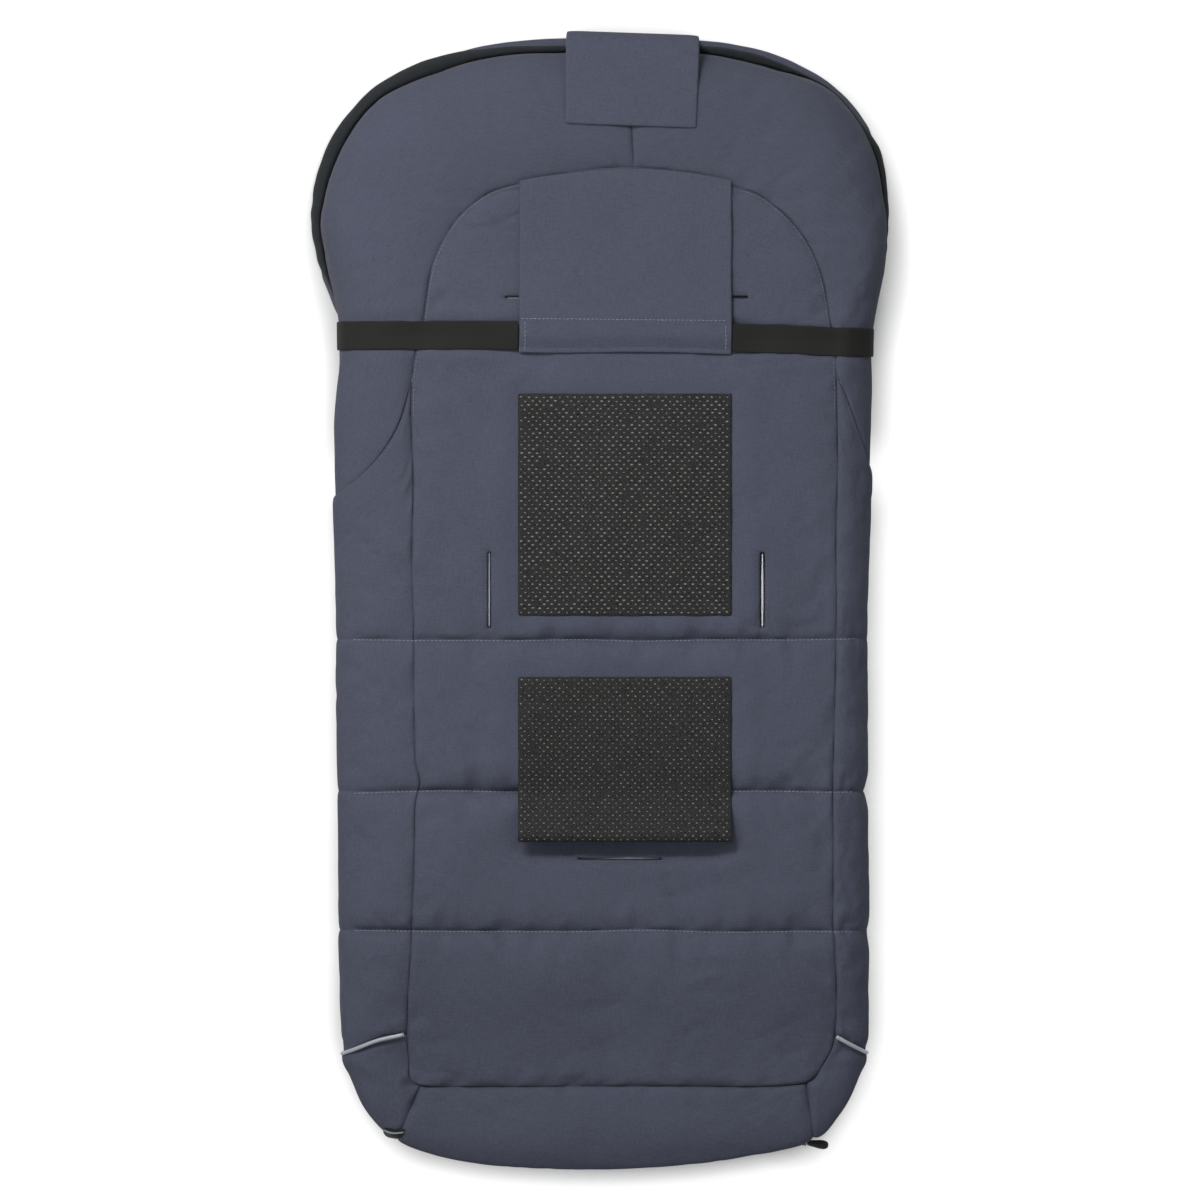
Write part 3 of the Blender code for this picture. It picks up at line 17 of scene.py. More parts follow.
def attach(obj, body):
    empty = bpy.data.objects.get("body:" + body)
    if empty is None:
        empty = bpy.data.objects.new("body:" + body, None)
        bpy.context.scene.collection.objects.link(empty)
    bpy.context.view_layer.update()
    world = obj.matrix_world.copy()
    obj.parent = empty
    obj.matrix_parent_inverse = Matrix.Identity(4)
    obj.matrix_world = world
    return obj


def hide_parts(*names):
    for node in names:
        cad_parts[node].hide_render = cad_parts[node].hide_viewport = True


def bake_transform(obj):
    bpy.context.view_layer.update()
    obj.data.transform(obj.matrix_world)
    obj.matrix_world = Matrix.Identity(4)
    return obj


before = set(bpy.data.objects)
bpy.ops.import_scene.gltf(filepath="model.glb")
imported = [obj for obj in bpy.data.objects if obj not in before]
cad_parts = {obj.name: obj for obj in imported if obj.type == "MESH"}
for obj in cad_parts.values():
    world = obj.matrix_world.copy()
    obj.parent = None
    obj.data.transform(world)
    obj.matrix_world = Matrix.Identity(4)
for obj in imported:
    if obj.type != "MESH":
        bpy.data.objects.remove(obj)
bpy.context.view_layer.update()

# Sizes shared with the CAD part
HALF_WIDTH, HALF_LENGTH = 0.250, 0.500
BACK_Z, FOOT_DROP = 0.088, 0.018
WIDEST_Z, HOOD_WIDEST_Z, HOOD_EDGE_Z = 0.050, 0.026, 0.014
BACK_THICK, WALL_THICK, COVER_THICK = 0.009, 0.0056, 0.008
LINING_GAP, LINING_THICK = 0.0009, 0.0034
ZIP_Z, TAPE_REACH, TUCK = 0.021, 0.006, 0.006
COVER_TOP_Y, HINGE_Y, COVER_SKIRT, HEM_WIDTH = 0.100, -0.392, 0.025, 0.006
FOOT_ZIP_RADIUS, FOOT_ZIP_CENTRE = 0.745, (0.005, 0.254)
FOOT_ZIP_HALF_ANGLE = math.radians(13.6)
LEFT, RIGHT = -1, 1
SIDES = ((LEFT, "left"), (RIGHT, "right"))
SIDE_ZIP_X = {LEFT: -0.900 * HALF_WIDTH, RIGHT: 0.916 * HALF_WIDTH}
SHOULDER_DROP = {LEFT: 0.204, RIGHT: 0.166}
SHOULDER_POWER = {LEFT: 0.5, RIGHT: 1.05}
WIDEST, TUCK_TURN = 0.70, math.radians(60)
GUSSET_POWER, HOOD_POWER, FOOT_POWER = 2.1, 3.3, 1.7

LEFT_TABLE = (
    (0.020, -0.857, 0.020, -0.995, 0.0), (-0.320, -0.857, -0.360, -0.987, 0.0),
    (-0.548, -0.856, -0.560, -0.972, 0.0), (-0.629, -0.850, -0.714, -0.949, 0.0),
    (-0.663, -0.830, -0.820, -0.895, 0.0), (-0.674, -0.796, -0.878, -0.835, 0.0),
    (-0.677, -0.762, -0.904, -0.798, 0.0), (-0.672, -0.680, -0.906, -0.690, 0.0),
    (-0.660, -0.581, -0.910, -0.581, 0.0), (-0.650, -0.336, -0.914, -0.336, 0.0),
    (-0.656, -0.069, -0.919, -0.069, 0.0), (-0.658, 0.200, -0.924, 0.200, 0.0),
    (-0.660, 0.386, -0.914, 0.386, 0.004), (-0.620, 0.490, -0.916, 0.492, 0.008),
    (-0.592, 0.584, -0.962, 0.605, 0.030), (-0.518, 0.658, -0.983, 0.690, 0.030),
    (-0.410, 0.709, -0.904, 0.806, 0.050), (-0.288, 0.732, -0.719, 0.905, 0.052),
    (-0.096, 0.753, -0.380, 0.962, 0.034), (0.120, 0.760, 0.100, 0.973, 0.034),
)
RIGHT_TABLE = (
    (0.020, -0.857, 0.020, -0.995, 0.0), (0.380, -0.856, 0.400, -0.981, 0.0),
    (0.632, -0.855, 0.600, -0.966, 0.0), (0.728, -0.847, 0.752, -0.948, 0.0),
    (0.776, -0.824, 0.843, -0.894, 0.0), (0.812, -0.796, 0.904, -0.835, 0.0),
    (0.826, -0.766, 0.936, -0.796, 0.0), (0.830, -0.680, 0.936, -0.690, 0.0),
    (0.826, -0.581, 0.936, -0.581, 0.0), (0.818, -0.336, 0.934, -0.336, 0.0),
    (0.832, -0.069, 0.938, -0.069, 0.0), (0.832, 0.200, 0.944, 0.200, 0.0),
    (0.834, 0.396, 0.948, 0.390, 0.002), (0.810, 0.490, 0.954, 0.488, 0.004),
    (0.776, 0.580, 0.988, 0.604, 0.012), (0.700, 0.650, 0.998, 0.696, 0.0155),
    (0.580, 0.704, 0.944, 0.806, 0.020), (0.466, 0.725, 0.789, 0.909, 0.028),
    (0.300, 0.748, 0.468, 0.964, 0.030), (0.120, 0.760, 0.100, 0.973, 0.034),
)
RING = LEFT_TABLE + RIGHT_TABLE[-2:0:-1]
QUILT_SEAMS = (-0.581 * HALF_LENGTH, -0.336 * HALF_LENGTH, -0.069 * HALF_LENGTH)
CORNER, PIPING, SHOULDER, FIRST_ARCH, ARCH, CROWN = 3.0, 6.0, 12.0, 13.0, 17.0, 19.0
QUILT_STATIONS = (8.0, 9.0, 10.0)
SHOULDER_BLEND = 10.5

# How far the stuffed shell stands out past its drawn outline, in mm by station
SWELLS = {
    LEFT: ((0.0, 2.0), (1.0, 2.6), (2.0, 2.0), (2.6, 0.5), (3.0, 0.0), (4.0, -0.4),
           (4.6, -1.4), (5.2, -0.4), (6.0, 0.0), (6.1, -4.4), (6.28, -1.5), (6.6, 0.0),
           (10.6, 0.0), (11.2, 3.0), (11.55, 4.4), (11.85, 3.0), (12.2, 0.2), (12.8, 0.8),
           (13.0, 0.4), (13.3, 2.4), (13.65, 3.2), (14.1, 2.6), (14.7, 1.5), (15.3, 1.8),
           (15.8, 0.6), (16.3, -0.8), (16.7, -1.2), (17.1, -0.8), (17.4, 0.6), (17.9, 2.2),
           (18.4, 2.8), (19.0, 2.0)),
    RIGHT: ((0.0, 2.0), (0.9, 2.6), (1.5, 1.2), (2.0, 2.0), (2.6, 0.0), (3.4, 1.8),
            (4.2, 1.6), (5.0, 0.3), (6.0, 0.0), (6.1, -2.6), (6.3, 0.0), (7.8, 0.0),
            (7.95, -2.0), (8.1, 0.0), (8.88, -0.5), (9.0, -4.0), (9.12, -0.5), (9.4, -1.2),
            (10.4, -1.6), (10.8, -0.6), (11.2, 1.2), (11.5, 2.0), (11.9, 1.5), (12.3, 0.0),
            (12.7, 0.2), (13.2, 1.8), (13.7, 3.5), (14.15, 2.6), (14.6, 1.0), (15.2, 2.0),
            (15.7, 3.5), (16.2, 2.6), (16.6, -0.6), (16.9, -2.4), (17.2, -1.4), (17.45, 0.2),
            (17.7, 1.6), (18.0, 1.8), (18.3, 1.0), (19.0, 2.0)),
}
# How far the hood's cloth stays back from its binding, in mm by station
HOOD_PULLS = {
    LEFT: ((12.9, 0.0), (13.5, 2.8), (14.2, 2.6), (15.15, 3.0), (15.75, 3.3), (16.3, 1.6),
           (16.75, 1.8), (17.1, 4.7), (17.45, 6.6), (17.75, 5.0), (18.0, 4.8), (18.2, 4.4),
           (18.45, 5.3), (19.0, 3.5)),
    RIGHT: ((14.6, 0.0), (15.2, 1.3), (15.8, 0.2), (16.25, 0.2), (16.75, 1.9), (17.1, 3.3),
            (17.5, 7.0), (17.8, 6.8), (18.0, 6.6), (18.25, 5.8), (18.6, 4.5), (19.0, 3.5)),
}
# How far the front's shell-coloured cloth shows outside the dark binding, in mm by station; the
# strip paints the light that falls on the binding's top
LIT_EDGE_WIDTHS = {
    LEFT: ((12.9, 0.0), (13.2, 2.6), (13.6, 2.6), (13.9, 0.0), (17.6, 0.0), (17.75, 0.9),
           (18.0, 2.3), (18.2, 3.5), (18.4, 5.7), (18.7, 6.3), (19.0, 6.3)),
    RIGHT: ((15.9, 0.0), (16.25, 2.4), (16.75, 4.4), (17.1, 4.6), (17.5, 5.0), (17.8, 3.6),
            (18.0, 3.2), (18.25, 3.6), (18.6, 4.6), (19.0, 6.3)),
}
# How deep each quilting seam draws the padding in, by place across
QUILT_DEPTHS = (
    ((-0.210, 1.10), (-0.110, 1.10), (-0.050, 0.75), (0.010, 0.45), (0.090, 0.45),
     (0.120, 0.75), (0.185, 0.75), (0.205, 0.30)),
    ((-0.220, 0.70), (-0.170, 0.70), (-0.140, 1.15), (-0.090, 1.15), (0.110, 0.80),
     (0.120, 0.60), (0.180, 0.70), (0.205, 0.30)),
    ((-0.220, 0.42), (-0.064, 0.48), (-0.045, 1.00), (0.103, 1.00), (0.122, 0.35),
     (0.220, 0.42)),
)

# How finely the shell is meshed: cells between named stations and down the section
HALF_COLUMNS = 36
CELLS = ((3.0, 6.0, 16), (6.0, 8.0, 18), (8.0, 9.0, 24), (9.0, 10.0, 27), (10.0, 12.0, 46),
         (12.0, 13.0, 20), (13.0, 17.0, 46))
SECTION_CELLS = 24
SIM_FRAMES = 20
CLOTH = dict(quality=5, mass=0.15, tension_stiffness=20.0, compression_stiffness=20.0,
             shear_stiffness=8.0, bending_stiffness=0.3, vertex_group_mass="pin",
             use_pressure=True, uniform_pressure_force=4.0, shrink_min=-0.012)
RNG = random.Random(7)


def mix(a, b, share):
    """A value between a and b."""
    return a + (b - a) * share


def spread(a, b, count):
    """Evenly spaced values from a to b, with count steps."""
    return [mix(a, b, k / count) for k in range(count + 1)]


def ramp(value):
    """0 below 0, 1 above 1, and a smooth step between."""
    t = min(max(value, 0.0), 1.0)
    return t * t * (3.0 - 2.0 * t)


# The shell's stations and sections


def ring_row(side, s):
    """The ring's smooth values at station s on one side."""
    count = len(RING)
    place = s if side == LEFT else (count - s) % count
    i = int(math.floor(place))
    t = place - i
    a, b, c, d = (RING[(i + k) % count] for k in (-1, 0, 1, 2))
    found = []
    for p, q, r, w in zip(a, b, c, d):
        cubic = 3.0 * q - p - 3.0 * r + w
        square = 2.0 * p - 5.0 * q + 4.0 * r - w
        found.append(0.5 * (2.0 * q + (r - p) * t + square * t * t + cubic * t * t * t))
    return found


def by_station(table, s):
    """A length from a table of stations and millimetres."""
    stations, values = zip(*table)
    return float(np.interp(s, stations, values)) * 0.001


def back_height(y):
    """Height of the back panel's base surface."""
    return BACK_Z - FOOT_DROP * ramp((QUILT_SEAMS[0] - y) / (QUILT_SEAMS[0] + 0.4285))


class Section:
    """The wall's section at one station, from the back seam down to its lower edge."""

    def __init__(self, side, s):
        row = ring_row(side, s)
        self.inner = Vector((row[0] * HALF_WIDTH, row[1] * HALF_LENGTH))
        self.outer = Vector((row[2] * HALF_WIDTH, row[3] * HALF_LENGTH))
        self.out = (self.outer - self.inner).normalized()
        swell = by_station(SWELLS[side], s)
        on_rim = ramp((s - 14.4) / 0.8)
        self.rim = row[4] * HALF_WIDTH + swell * on_rim
        self.outer = self.outer + self.out * swell * (1.0 - on_rim)
        self.pull = by_station(HOOD_PULLS[side], s)
        self.hood = ramp((s - 11.0) / 3.0)
        on_zip = min(max(s - 5.0, 0.0), 1.0) * min(max(12.0 - s, 0.0), 1.0)
        self.lower = self.outer - self.out * TUCK * (1.0 - self.hood)
        zip_line = Vector((SIDE_ZIP_X[side], self.outer.y))
        self.lower = self.lower.lerp(zip_line, on_zip)
        self.top_z = back_height(self.inner.y)
        self.widest_z = mix(WIDEST_Z, HOOD_WIDEST_Z, self.hood)
        self.edge_z = mix(ZIP_Z + TAPE_REACH, HOOD_EDGE_Z, self.hood)
        self.power = mix(GUSSET_POWER, HOOD_POWER, self.hood)
        self.power = mix(FOOT_POWER, self.power, ramp((s - 1.8) / 2.6))

    def point(self, u):
        """The base surface's point and outward direction at share u of the section."""
        if u <= WIDEST:
            turn = u / WIDEST * math.pi / 2.0
            across = math.sin(turn) ** (2.0 / self.power)
            down = max(math.cos(turn), 0.0) ** (2.0 / self.power)
            plan = self.inner.lerp(self.outer, across)
            height = mix(self.widest_z, self.top_z, down)
            facing = turn
        else:
            turn = (u - WIDEST) / (1.0 - WIDEST) * TUCK_TURN
            back = (1.0 - math.cos(turn)) / (1.0 - math.cos(TUCK_TURN))
            down = math.sin(turn) / math.sin(TUCK_TURN)
            plan = self.outer.lerp(self.lower, back)
            height = mix(self.widest_z, self.edge_z, down)
            facing = math.pi / 2.0
        plan = plan - self.out * self.pull * ramp((u - 0.10) / 0.35)
        out = self.out * math.sin(facing)
        return (plan.x, plan.y, height), (out.x, out.y, math.cos(facing))


def station_at(side, y, low=6.0, high=13.0):
    """The station whose back seam lies at the height y of the plan."""
    for _ in range(30):
        middle = (low + high) / 2.0
        short = ring_row(side, middle)[1] * HALF_LENGTH < y
        low, high = (middle, high) if short else (low, middle)
    return (low + high) / 2.0


SHOULDERS = {}


def shoulder_station(side, u):
    """The station where the shoulder seam crosses share u of the section."""
    if u <= 0.0:
        return SHOULDER
    if (side, u) not in SHOULDERS:
        start_y = ring_row(side, SHOULDER)[1] * HALF_LENGTH
        turn = min(u / WIDEST, 1.0) * math.pi / 2.0
        across = math.sin(turn) ** (2.0 / GUSSET_POWER)
        drop = SHOULDER_DROP[side] * HALF_LENGTH * across ** SHOULDER_POWER[side]
        SHOULDERS[side, u] = station_at(side, start_y - drop)
    return SHOULDERS[side, u]


def seam_stations(side, low, high, count):
    """Stations between two named ones whose back seam points are evenly spaced across."""
    start, end = ring_row(side, low)[0], ring_row(side, high)[0]
    found = [low]
    for k in range(1, count):
        target, a, b = mix(start, end, k / count), low, high
        for _ in range(30):
            middle = (a + b) / 2.0
            past = (ring_row(side, middle)[0] - target) * (end - start) > 0.0
            a, b = (a, middle) if past else (middle, b)
        found.append((a + b) / 2.0)
    return found + [high]


def fine_stations(low, high):
    """Stations between two named ones, as finely as the cells table says."""
    found = []
    for start, end, count in CELLS:
        if start >= low and end <= high:
            found += [mix(start, end, k / count) for k in range(count)]
    return found + [high]


SECTION_SHARES = spread(0.0, 1.0, SECTION_CELLS)


def pair_grids(sections):
    """Grids of points and of directions from the pairs along each section."""
    both = np.array(sections, float).transpose(1, 0, 2, 3)
    return both[:, :, 0], both[:, :, 1]


def wall_grid(rows):
    """Points and outward directions of a wall panel, as arrays of (section, row, 3)."""
    return pair_grids([[Section(side, station(u)).point(u) for u in SECTION_SHARES]
                       for side, station in rows])


def at(side, s):
    """A row that crosses the whole section at one station."""
    return side, lambda u: s


def gusset_row(side, s):
    """A row of a gusset: straight low down, and bent to the shoulder seam above."""
    if s <= SHOULDER_BLEND:
        return at(side, s)
    share = (s - SHOULDER_BLEND) / (SHOULDER - SHOULDER_BLEND)
    return side, lambda u: mix(SHOULDER_BLEND, shoulder_station(side, u), share)


def hood_row(side, s):
    """A row of a hood panel, which starts on the shoulder seam."""
    if s >= FIRST_ARCH:
        return at(side, s)
    return side, lambda u: mix(shoulder_station(side, u), FIRST_ARCH, s - SHOULDER)


def seam_points(low, high):
    """The back seam's points between two named stations, from left to right."""
    left, right = ([Section(side, s).inner for s in seam_stations(side, low, high, HALF_COLUMNS)]
                   for side in (LEFT, RIGHT))
    return left + right[-2::-1]


def back_grid():
    """Points and outward directions of the back panel, bent at both ends to its seams."""
    rows = fine_stations(CORNER, ARCH)
    crown, foot = seam_points(ARCH, CROWN), seam_points(CORNER, 0.0)
    count = 2 * HALF_COLUMNS
    places = np.zeros((count + 1, len(rows), 3))
    top_ends = (Section(LEFT, ARCH).inner, Section(RIGHT, ARCH).inner)
    foot_ends = (Section(LEFT, CORNER).inner, Section(RIGHT, CORNER).inner)
    for j, s in enumerate(rows):
        left, right = Section(LEFT, s).inner, Section(RIGHT, s).inner
        top_pull = ramp((s - FIRST_ARCH) / (ARCH - FIRST_ARCH)) ** 2
        foot_pull = ramp((PIPING - s) / (PIPING - CORNER)) ** 2
        for i in range(count + 1):
            w = i / count
            plan = left.lerp(right, w)
            plan = plan + (crown[i] - top_ends[0].lerp(top_ends[1], w)) * top_pull
            plan = plan + (foot[i] - foot_ends[0].lerp(foot_ends[1], w)) * foot_pull
            places[i, j] = (plan.x, plan.y, back_height(plan.y))
    facing = np.zeros_like(places)
    facing[:, :, 2] = 1.0
    return places, facing, rows


def shell_panels():
    """Every panel of the outer shell: points, directions, seams and how far it may fill."""
    panels = {}

    def keep(name, grids, cap, loft, flat, edges=(True, False, True, True), seams=(), **more):
        panels[name] = dict(p=grids[0], d=grids[1], cap=cap, loft=loft, flat=flat, edges=edges,
                            seams=list(seams), **more)

    places, facing, rows = back_grid()
    keep("back_panel", (places, facing), 0.0042, 0.0016, (True, True, False, True),
         (True, True, True, True), [rows.index(s) for s in QUILT_STATIONS])
    for side, word in SIDES:
        rows = fine_stations(PIPING, SHOULDER)
        keep(f"gusset_panel_{word}", wall_grid([gusset_row(side, s) for s in rows]), 0.0022,
             0.0020, (True, False, False, True), seams=[rows.index(s) for s in QUILT_STATIONS])
        rows = fine_stations(SHOULDER, ARCH)
        rows += seam_stations(side, ARCH, CROWN, HALF_COLUMNS)[1:]
        keep(f"hood_panel_{word}", wall_grid([hood_row(side, s) for s in rows]), 0.0020,
             0.0014, (True, False, True, True), lean=True, swell=0.0016)
        rows = [at(side, s) for s in fine_stations(CORNER, PIPING)]
        keep(f"foot_corner_panel_{word}", wall_grid(rows), 0.0018, 0.0022,
             (True, False, False, False))
    rows = [at(LEFT, s) for s in seam_stations(LEFT, CORNER, 0.0, HALF_COLUMNS)]
    rows += [at(RIGHT, s) for s in seam_stations(RIGHT, CORNER, 0.0, HALF_COLUMNS)[-2::-1]]
    keep("foot_end_skin", wall_grid(rows), 0.0018, 0.0022, (False, False, False, False))
    return panels


# The cloth simulation


def quads_of(ids, grid, facing, i, j):
    """Quads over a grid of point numbers, turned to face as its cell i, j should."""
    corners = [ids[:-1, :-1], ids[1:, :-1], ids[1:, 1:], ids[:-1, 1:]]
    quads = np.stack(corners, -1).reshape(-1, 4)
    u, v = grid[i + 1, j] - grid[i, j], grid[i, j + 1] - grid[i, j]
    return quads[:, ::-1] if np.dot(np.cross(u, v), facing[i, j]) < 0.0 else quads


def merged(panels):
    """One mesh of all panels with shared seam points, and each panel's own indices."""
    index, places, pinned, faces = {}, [], [], []
    for panel in panels.values():
        p = panel["p"]
        columns, rows = p.shape[:2]
        ids = np.zeros((columns, rows), int)
        for i in range(columns):
            for j in range(rows):
                key = tuple(np.round(p[i, j] * 20000.0).astype(int))
                if key not in index:
                    index[key] = len(places)
                    places.append(p[i, j])
                    pinned.append(False)
                ids[i, j] = index[key]
                on_edge = i in (0, columns - 1) or j in (0, rows - 1)
                if on_edge or j in panel["seams"]:
                    pinned[ids[i, j]] = True
        panel["ids"] = ids
        quads = quads_of(ids, p, panel["d"], 0, 0)
        faces += [tuple(int(n) for n in quad) for quad in quads if len(set(quad)) == 4]
    return np.array(places), faces, pinned


def simulate(panels):
    """Fills the shell: cloth under pressure, held down along every seam."""
    places, faces, pinned = merged(panels)
    start = places.copy()
    facing = np.zeros_like(start)
    for panel in panels.values():
        facing[panel["ids"].ravel()] = panel["d"].reshape(-1, 3)
    for k, place in enumerate(start):
        if not pinned[k]:
            swell = 0.0010 + 0.0009 * noise.noise(Vector(place) * 60.0)
            start[k] += facing[k] * swell
    mesh = bpy.data.meshes.new("shell_cloth")
    mesh.from_pydata([tuple(place) for place in start], [], faces)
    cloth = bpy.data.objects.new("shell_cloth", mesh)
    bpy.context.scene.collection.objects.link(cloth)
    group = cloth.vertex_groups.new(name="pin")
    group.add([k for k, held in enumerate(pinned) if held], 1.0, "REPLACE")
    modifier = cloth.modifiers.new("cloth", "CLOTH")
    for key, value in CLOTH.items():
        setattr(modifier.settings, key, value)
    modifier.settings.effector_weights.gravity = 0.0
    modifier.collision_settings.use_collision = False
    modifier.point_cache.frame_start = 1
    modifier.point_cache.frame_end = SIM_FRAMES
    scene = bpy.context.scene
    for number in range(1, SIM_FRAMES + 1):
        scene.frame_set(number)
    graph = bpy.context.evaluated_depsgraph_get()
    shaped = cloth.evaluated_get(graph).to_mesh()
    found = np.zeros(len(shaped.vertices) * 3)
    shaped.vertices.foreach_get("co", found)
    bpy.data.objects.remove(cloth, do_unlink=True)
    scene.frame_set(1)
    return found.reshape(-1, 3)


def section_shares(panel):
    """Share of the section at each column of a panel, zero on the flat back."""
    columns = panel["p"].shape[0]
    if columns != len(SECTION_SHARES):
        return np.zeros((columns, 1))
    return np.array(SECTION_SHARES)[:, None]


def capped(panel, found):
    """The panel's simulated points, calmed low down and held to what wadding allows."""
    base, facing = panel["p"], panel["d"]
    moved = found[panel["ids"]] - base
    rise = np.sum(moved * facing, -1)
    flat = moved - facing * rise[..., None]
    calm = np.clip((section_shares(panel) - 0.30) / 0.30, 0.0, 1.0)
    soft = rise.copy()
    for _ in range(40):
        soft[:, 1:-1] = (soft[:, :-2] + 2.0 * soft[:, 1:-1] + soft[:, 2:]) / 4.0
    rise = rise * (1.0 - 0.9 * calm) + soft * 0.9 * calm
    cap = panel["cap"]
    held = cap * np.tanh(np.maximum(rise, 0.0) / cap)
    return base + facing * held[..., None] + flat * (0.6 * (1.0 - calm))[..., None]


def panel_lengths(base):
    """Distances along the sections and along the rows of a grid."""
    step_u = np.linalg.norm(np.diff(base, axis=0), axis=-1)
    step_v = np.linalg.norm(np.diff(base, axis=1), axis=-1)
    along_u = np.vstack([np.zeros((1, base.shape[1])), np.cumsum(step_u, 0)])
    along_v = np.hstack([np.zeros((base.shape[0], 1)), np.cumsum(step_v, 1)])
    return along_u, along_v


def refined(grid, seams, axis):
    """The grid with extra lines close to its seams along one axis."""
    count = grid.shape[axis]
    places = []
    for k in range(count - 1):
        shares = [0.0]
        if k in seams:
            shares += [0.16, 0.42]
        if k + 1 in seams:
            shares += [0.58, 0.84]
        places += [(k, share) for share in shares]
    places.append((count - 1, 0.0))
    low = np.array([k for k, _ in places])
    high = np.minimum(low + 1, count - 1)
    share = np.array([share for _, share in places])
    shape = [1, 1, 1]
    shape[axis] = len(share)
    share = share.reshape(shape)
    return np.take(grid, low, axis) * (1.0 - share) + np.take(grid, high, axis) * share, low


def seam_distance(along, seams, axis):
    """Distance of each grid point from the nearest seam line across an axis."""
    far = np.full(along.shape, 9.0)
    for k in seams:
        line = np.take(along, [k], axis)
        far = np.minimum(far, np.abs(along - line))
    return far


# Relief of the stuffed cloth: depths, then reaches
LOFT_REACH, RIDGE_HEIGHT, RIDGE_REACH = 0.0055, 0.0013, 0.0060
GROOVE_DEPTH, GROOVE_REACH = 0.0013, 0.0008
DEEP_DEPTH, DEEP_REACH = 0.0024, 0.0020
QUILT_DIP, HEAD_REACH, FOOT_REACH = 0.0062, 0.0072, 0.0036
QUILT_PUCKERS, FLAT_PUCKERS = (0.0050, 0.012, 0.0022), (0.0032, 0.008, 0.0020)
DEEP_PUCKERS = (0.0040, 0.012, 0.0022)
BROAD_SWELL, CREASE_GAIN = 0.0036, 1.5
FOOT_SLUMP, SLUMP_RUN = 0.0075, 0.14
PAD_DIP, PAD_DIP_BELOW, PAD_DIP_REACH = 0.0125, 0.007, 0.0080
STRAP_PRESS, PAD_PRESS, TAPE_PRESS = 0.0018, 0.0016, 0.0020
CORNER_DIP, CORNER_REACH = 0.0034, 0.0055
# Folds of the cloth: turn, noise scales, seed and depth
FOLDS = (
    (0.25, (7.0, 30.0, 24.0), 21.0, 0.0009), (-0.5, (9.0, 34.0, 20.0), 37.0, 0.0007),
    (1.35, (8.0, 30.0, 22.0), 55.0, 0.0006), (0.9, (16.0, 48.0, 30.0), 71.0, 0.0005),
)
# Places of the pieces sewn on, and of the elastic with its sag by place across
TAPE_X, TAPE_Y = (-0.0187, 0.0760), (0.427, 0.449)
PAD_X, PAD_MIDDLE, PAD_HALF = (-0.0722, 0.1158), 0.0208, 0.088
UPPER_PAD_Y, LOWER_PAD_Y = (-0.0138, 0.1815), (-0.2132, -0.0673)
STRAP_Y, STRAP_WIDTH = 0.2338, 0.0254
STRAP_DROPS = ((-0.228, 0.0014), (-0.0711, 0.0012), (0.1157, 0.0032), (0.240, 0.0076))
FOOT_CORNERS = ((-0.1625, -0.4180), (0.1850, -0.4150))
# Where the sewing is pulled aside: X, Y, reaches in X and Y, pull in X and Y
PULLS = (
    (-0.165, -0.160, 0.030, 0.011, 0.0042, 0.0), (0.207, -0.284, 0.030, 0.012, -0.0016, 0.0),
    (-0.198, -0.390, 0.020, 0.022, 0.0, 0.0024),
    (*FOOT_CORNERS[0], 0.010, 0.010, -0.0030, -0.0030),
    (*FOOT_CORNERS[1], 0.010, 0.010, 0.0016, -0.0016),
)


def strap_drop(x):
    """How far the elastic hangs towards the foot at a place across the back."""
    xs, values = zip(*STRAP_DROPS)
    return np.interp(x, xs, values)


def noise_field(points, scale, offset, detail=0.0):
    """Smooth noise over points, stretched by a scale for each axis."""
    found = []
    for x, y, z in points.reshape(-1, 3):
        place = Vector((x * scale[0], y * scale[1], z * scale[2] + offset))
        value = noise.noise(place)
        if detail:
            value += detail * noise.noise(place * 2.3)
        found.append(value)
    return np.array(found).reshape(points.shape[:2])


def warp(x, y):
    """How far the sewing wanders from its drawn lines at a place of the plan."""
    dx = 0.0016 * noise.noise(Vector((x * 5.0, y * 13.0, 1.0)))
    dy = 0.0022 * noise.noise(Vector((x * 11.0, y * 6.0, 7.0)))
    for px, py, wide, tall, pull_x, pull_y in PULLS:
        near = math.exp(-((y - py) / tall) ** 2 - ((x - px) / wide) ** 2)
        dx += pull_x * near
        dy += pull_y * near
    return dx, dy


def outside(x, y, x_span, y_span):
    """Distance of points from a rectangle of the plan, zero inside it."""
    far_x = np.maximum(np.maximum(x_span[0] - x, x - x_span[1]), 0.0)
    far_y = np.maximum(np.maximum(y_span[0] - y, y - y_span[1]), 0.0)
    return np.hypot(far_x, far_y)


def pad_dip(x, y):
    """How deep the back sinks below the free edge of the lower pad."""
    below = LOWER_PAD_Y[0] - y
    level = 1.0 / (1.0 + np.exp((np.abs(x - PAD_MIDDLE) - PAD_HALF) / 0.006))
    return PAD_DIP * np.exp(-((below - PAD_DIP_BELOW) / PAD_DIP_REACH) ** 2) * level


def pressed(x, y):
    """What the elastic and the sewn-on pads press out of the padding's height."""
    off = np.abs(y - STRAP_Y + strap_drop(x)) - STRAP_WIDTH / 2.0
    press = -STRAP_PRESS / (1.0 + np.exp(off / 0.0016)) - pad_dip(x, y)
    press += 0.0011 * np.exp(-((off - 0.0075) / 0.0055) ** 2)
    for y_span in (UPPER_PAD_Y, LOWER_PAD_Y):
        away = outside(x, y, PAD_X, y_span)
        press -= PAD_PRESS * np.exp(-away / 0.0045)
        press += 0.0012 * np.exp(-((away - 0.017) / 0.010) ** 2)
    return press


def ramp_array(share):
    """A smooth ramp from 0 to 1 over an array."""
    share = np.clip(share, 0.0, 1.0)
    return share * share * (3.0 - 2.0 * share)


def slump(y):
    """How far the foot end lies below the plain back."""
    return FOOT_SLUMP * ramp_array((QUILT_SEAMS[0] - y) / SLUMP_RUN)


